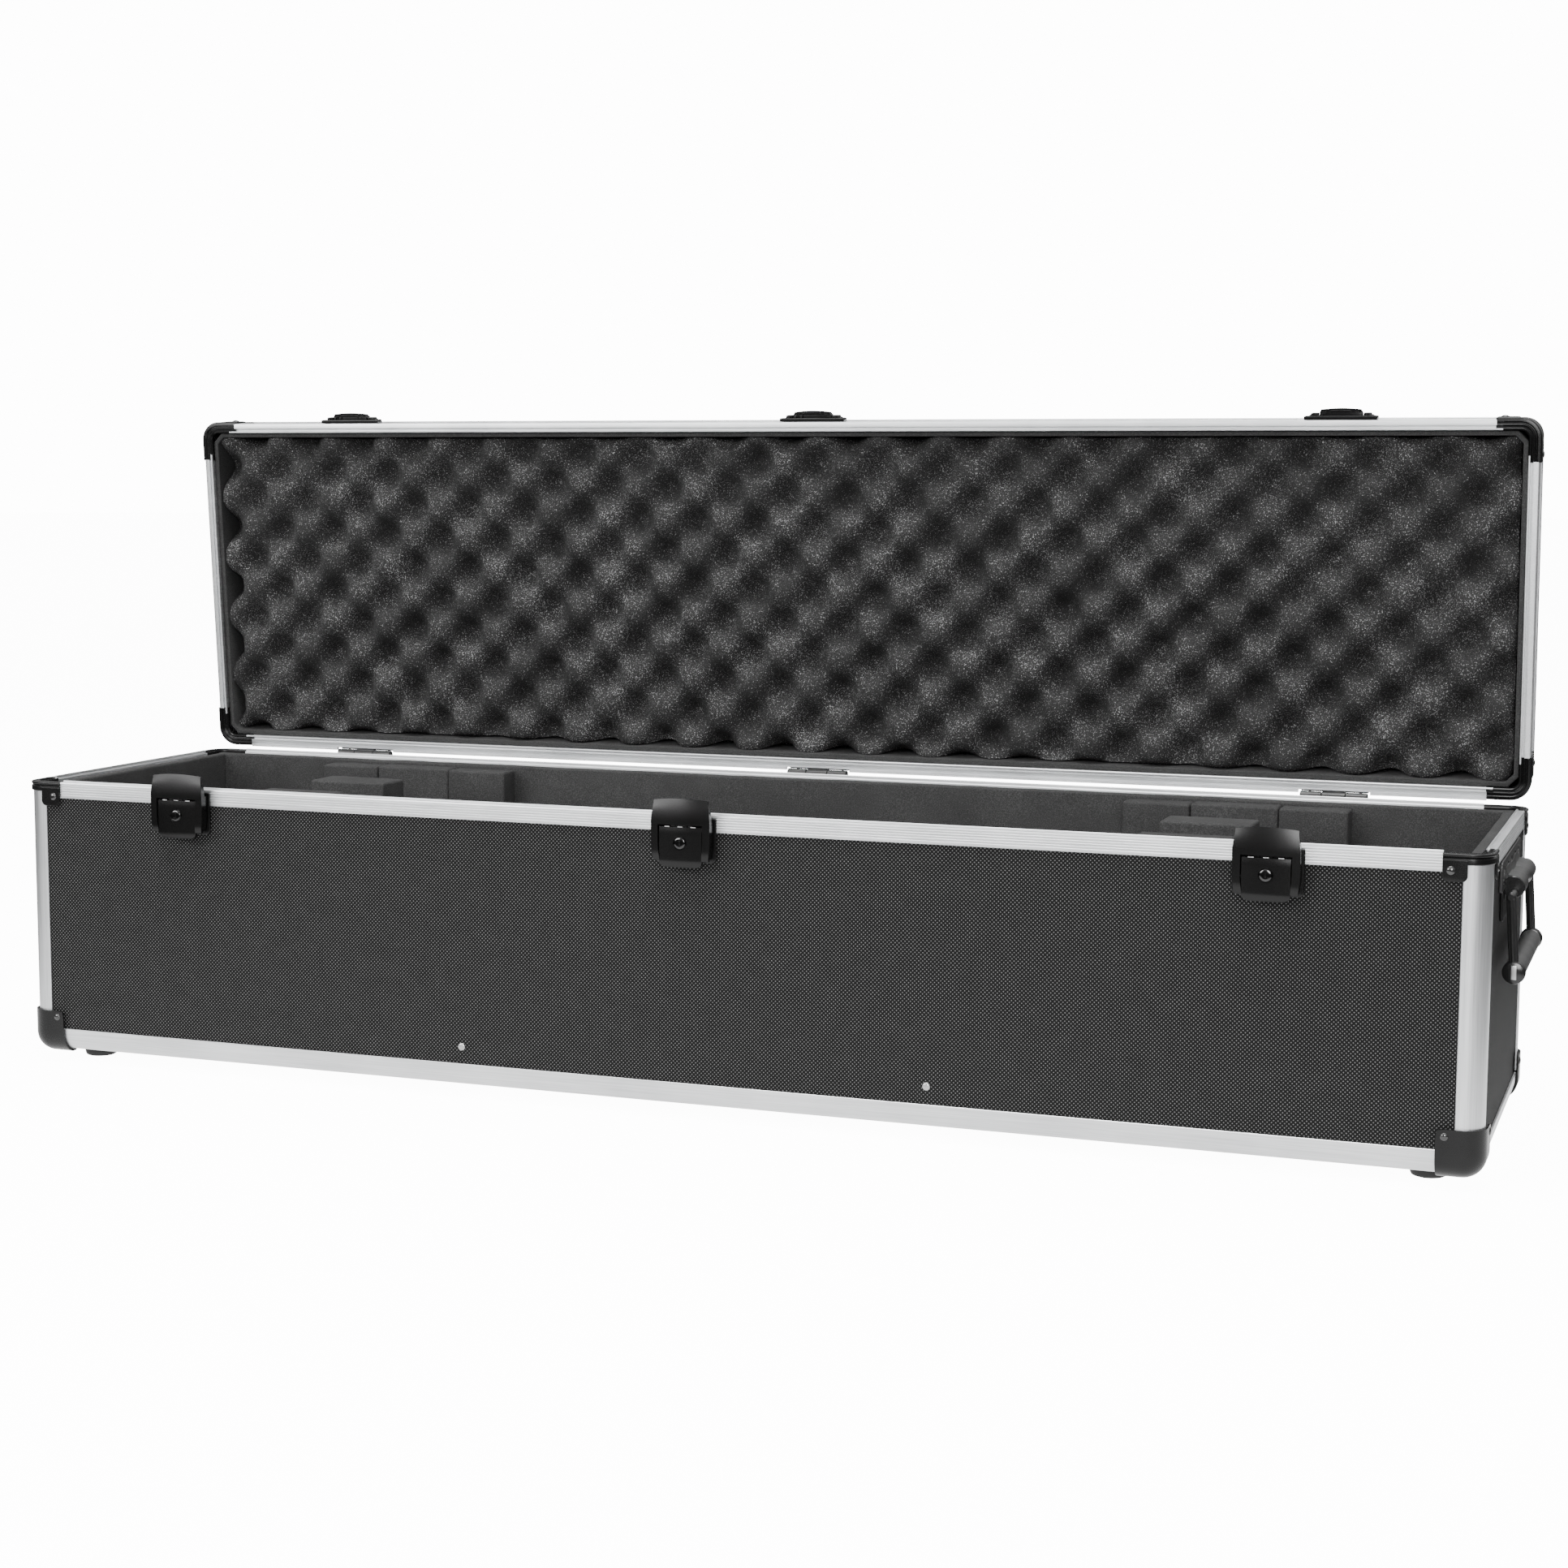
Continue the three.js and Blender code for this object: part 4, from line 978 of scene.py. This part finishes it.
def add_base_foam():
    x, wall, rear = HALF - WALL_OUT, HALF - WALL_IN, DEPTH - WALL_IN
    slabs = {
        "front": ((-x, WALL_OUT, FOAM_LOW), (x, WALL_IN - 0.2, FOAM_TOP)),
        "rear": ((-x, rear + 0.2, FOAM_LOW), (x, DEPTH - WALL_OUT, FOAM_TOP)),
        "left": ((-x, WALL_IN + 0.1, FOAM_LOW), (-wall - 0.1, rear - 0.1, FOAM_TOP - 0.4)),
        "right": ((wall + 0.1, WALL_IN + 0.1, FOAM_LOW), (x, rear - 0.1, FOAM_TOP - 0.4)),
    }
    for name, (low, high) in slabs.items():
        foam_block("liner_wall_" + name, "base_wall_foam", low, high, 2.2, 15, 0.5, 0.03)
    low, high = (-x, WALL_OUT, FLOOR_LOW), (x, DEPTH - WALL_OUT, FLOOR_HIGH)
    foam_block("liner_floor", "base_floor_foam", low, high, 1.5, 20, 0.4, 0.02)


def divider_outline():
    """The cross-piece from the side as (y, z): a block with two round-bottomed slots."""
    edge, slot_low, top = 2.5, BASE_Z + 100, 249.0
    shoulder = top - edge
    front, back = WALL_IN + 0.3, DEPTH - WALL_IN - 0.3
    outline = [(front, FOAM_LOW), (back, FOAM_LOW)]
    outline += arc((back - edge, shoulder), edge, 0, 90, 4)
    for y1, y0 in ((278, 190), (150, 80)):
        radius = (y1 - y0) / 2
        outline += arc((y1 + edge, shoulder), edge, 90, 180, 4)
        outline += arc(((y0 + y1) / 2, slot_low + radius), radius, 0, -180, 24)
        outline += arc((y0 - edge, shoulder), edge, 0, 90, 4)
    outline += arc((front + edge, shoulder), edge, 90, 180, 4)
    return outline


def add_dividers():
    """Two notched cross-pieces, each with a pad on either side at the rear wall."""
    out, half, back = 398.0, 38.0, DEPTH - WALL_IN - 0.3
    pad_end, pad_depth, pad_top = 98.0, 24.0, 248.4
    for name, side in SIDES.items():
        node = "foam_divider_" + name
        x = side * out
        made = Builder()
        made.plate([divider_outline()], "x", (x - half, x + half), 2.2)
        soften(made, 0.5, 0.04)
        made.piece("foam_cradle_" + name, "base", "liner_foam", [LINER_FOAM], [node], pad=1.0, sharp=60)
        for label, (x0, x1) in zip(("outer", "inner"), mirrored(half + 0.6, pad_end)):
            low, high = (x + x0, back - pad_depth, FOAM_LOW), (x + x1, back, pad_top)
            foam_block(f"foam_pad_{name}_{label}", node, low, high, 2.4, 12, 0.6, 0.04)


# Wave numbers (per millimetre) and phases of the lid foam's two bump rows, which run slightly askew.
CRATE_WAVES = (((0.01615, 0.01756), -2.92), ((0.01760, -0.01586), -1.53))
CRATE_DEPTH = 27.0
CRATE_SHIFT = 5.0
CRATE_CREST, CRATE_BACK = 258.9, 308.0
BAND = 4.4  # thickness of the foam band round it
CHAMFER = 9.0


def crate_height(x, y):
    """Foam height above its pits, from 0 to 1: broad domes, narrower pits."""
    along, back = x + HALF, y - CRATE_SHIFT
    total = sum(cos(tau * (kx * along + ky * back) + phase) for (kx, ky), phase in CRATE_WAVES)
    t = min(max((total / 2 + 1) / 2, 0.0), 1.0)
    t += 0.05 * noise.noise(Vector((x, y, 0)) * 0.035)
    return 1 - max(1 - t, 0.0) ** 1.55


def add_lid_foam():
    x, y0, y1 = HALF - WALL_OUT, WALL_OUT, DEPTH - WALL_OUT

    def octagon(inset):
        a, lo, hi = x - inset, y0 + inset, y1 - inset
        c = CHAMFER - inset * 0.6
        rear = [(a, hi - c), (a - c, hi), (-a + c, hi), (-a, hi - c)]
        return rear + [(-a, lo + c), (-a + c, lo), (a - c, lo), (a, lo + c)]

    made = Builder()
    made.plate([octagon(0), octagon(BAND)], "z", (CRATE_CREST, CRATE_BACK - 6), 0.9)
    made.piece("lid_liner_band", "lid", "egg_crate_foam", [LINER_FOAM], ["lid_foam"], pad=1.0, sharp=50)

    made = Builder()
    gap = BAND + 0.5
    ax, low, high = x - gap, y0 + gap, y1 - gap
    corner = CHAMFER - gap * 0.6

    def point(u, v):
        """A point of the surface from its place in a rectangle whose corners are cut off."""
        to_end, to_side = ax - abs(u), min(v - low, high - v)
        inward = 1 if v - low < high - v else -1
        p, q, past = u, v, to_end + to_side - corner
        if past < 0:
            p -= copysign(-past / 2, u)
            q += inward * (-past / 2)
        height = crate_height(p, q)
        near = min(to_end, to_side)
        draw = 3.2 * (1 - height) * (1 - ease(near / 14))
        if to_end < to_side:
            p -= copysign(draw, u)
        else:
            q += inward * draw
        edge = 2.4 * (1 - ease(near / 5))
        return p, q, CRATE_CREST + edge + CRATE_DEPTH * (1 - height)

    surface = made.rows([[point(u, v) for v in spread(low, high, 3.0)] for u in spread(-ax, ax, 3.0)])
    border = [r[0] for r in surface] + surface[-1][1:]
    border += [r[-1] for r in surface[-2::-1]] + surface[0][-2:0:-1]
    foot_ring = [made.bm.verts.new((v.co.x, v.co.y, CRATE_BACK)) for v in border]
    for i, vertex in enumerate(border):
        j = (i + 1) % len(border)
        made.bm.faces.new([vertex, border[j], foot_ring[j], foot_ring[i]])
    made.bm.faces.new(foot_ring)
    made.piece("lid_egg_crate", "lid", "egg_crate_foam", [CRATE_FOAM], ["lid_foam"], pad=1.0, sharp=60)


add_profiles()
add_corners()
add_screws()
add_hinges()
add_latches()
add_catches()
add_handles()
add_base_foam()
add_dividers()
add_lid_foam()


# ---- Floor, light and camera, in metres ----
# The light's strength by the height of its direction.
SURROUND = {"From Min": -0.1, "From Max": 0.8, "To Min": 0.1, "To Max": 1.3}
# Each light's place, target, size and power.
AREAS = {
    "front_left": ((-2.4, -3.3, 1.6), (0, 0, 0.2), (2.6, 1.6), 120),
    "top": ((0.3, -0.5, 3.2), (0, 0, 0.2), (3.0, 1.4), 140),
    "front_right": ((1.3, -3.9, 1.3), (0.2, 0, 0.3), (1.4, 1.6), 100),
}


def disc(radius):
    made = bmesh.new()
    bmesh.ops.create_circle(made, cap_ends=True, segments=96, radius=radius)
    return made


def stage_object(name, shape, albedo, glow, unseen_by=("diffuse", "glossy", "transmission", "shadow")):
    """A glowing stage object, which by default only the camera sees."""
    m = Nodes("studio_" + name, (albedo, albedo, albedo), 0.9, 0.0)
    m.shader.inputs["Emission Color"].default_value = (1, 1, 1, 1)
    m.shader.inputs["Emission Strength"].default_value = glow
    data = bpy.data.meshes.new(name)
    shape.to_mesh(data)
    shape.free()
    data.materials.append(m.material)
    obj = new_object(name, data)
    for ray in unseen_by:
        setattr(obj, "visible_" + ray, False)
    return obj


def add_stage():
    """A wide white floor, a white dome round it, and a card that lights from below."""
    radius, card_radius = 40, 1.1
    floor_glow, dome_glow, card_glow = 12.5, 14.0, 1.9
    stage_object("floor", disc(radius), 0.7, floor_glow).location.z = -0.0005
    dome = bmesh.new()
    bmesh.ops.create_uvsphere(dome, u_segments=64, v_segments=32, radius=radius)
    stage_object("backdrop", dome, 0.0, dome_glow)
    unseen_by = ("camera", "transmission", "shadow")
    stage_object("bounce_card", disc(card_radius), 0.0, card_glow, unseen_by).location.z = -0.01


def add_world():
    """Light from all round, dim at the horizon and bright above."""
    world = bpy.data.worlds.new("surround")
    world.use_nodes = True
    tree = world.node_tree
    background = next(n for n in tree.nodes if n.type == "BACKGROUND")
    background.inputs["Color"].default_value = (1, 1, 1, 1)
    direction = add_node(tree, "TexCoord", {}).outputs["Generated"]
    height = add_node(tree, "SeparateXYZ", {0: direction}).outputs["Z"]
    inputs = {"Value": height, **SURROUND}
    strength = add_node(tree, "MapRange", inputs, interpolation_type="SMOOTHSTEP")
    tree.links.new(strength.outputs[0], background.inputs["Strength"])
    bpy.context.scene.world = world


def add_areas():
    for name, (place, target, size, power) in AREAS.items():
        data = bpy.data.lights.new(name, "AREA")
        data.shape = "RECTANGLE"
        data.size, data.size_y = size
        data.energy = power
        obj = new_object(name, data)
        obj.location = place
        obj.rotation_euler = (Vector(target) - Vector(place)).to_track_quat("-Z", "Y").to_euler()


def add_camera():
    """Front right of the case, slightly above it."""
    place = (0.81218, -2.17447, 0.52558)
    yaw, pitch, roll = 0.3502, 0.1138, 0.0045
    turn = Matrix.Rotation(yaw, 4, "Z") @ Matrix.Rotation(pi / 2 - pitch, 4, "X")
    turn = turn @ Matrix.Rotation(roll, 4, "Z")
    data = bpy.data.cameras.new("camera")
    data.sensor_width = 36
    data.lens = 60.83
    data.clip_end = 100
    obj = new_object("camera", data)
    obj.matrix_world = Matrix.Translation(place) @ turn
    bpy.context.scene.camera = obj


add_stage()
add_world()
add_areas()
add_camera()
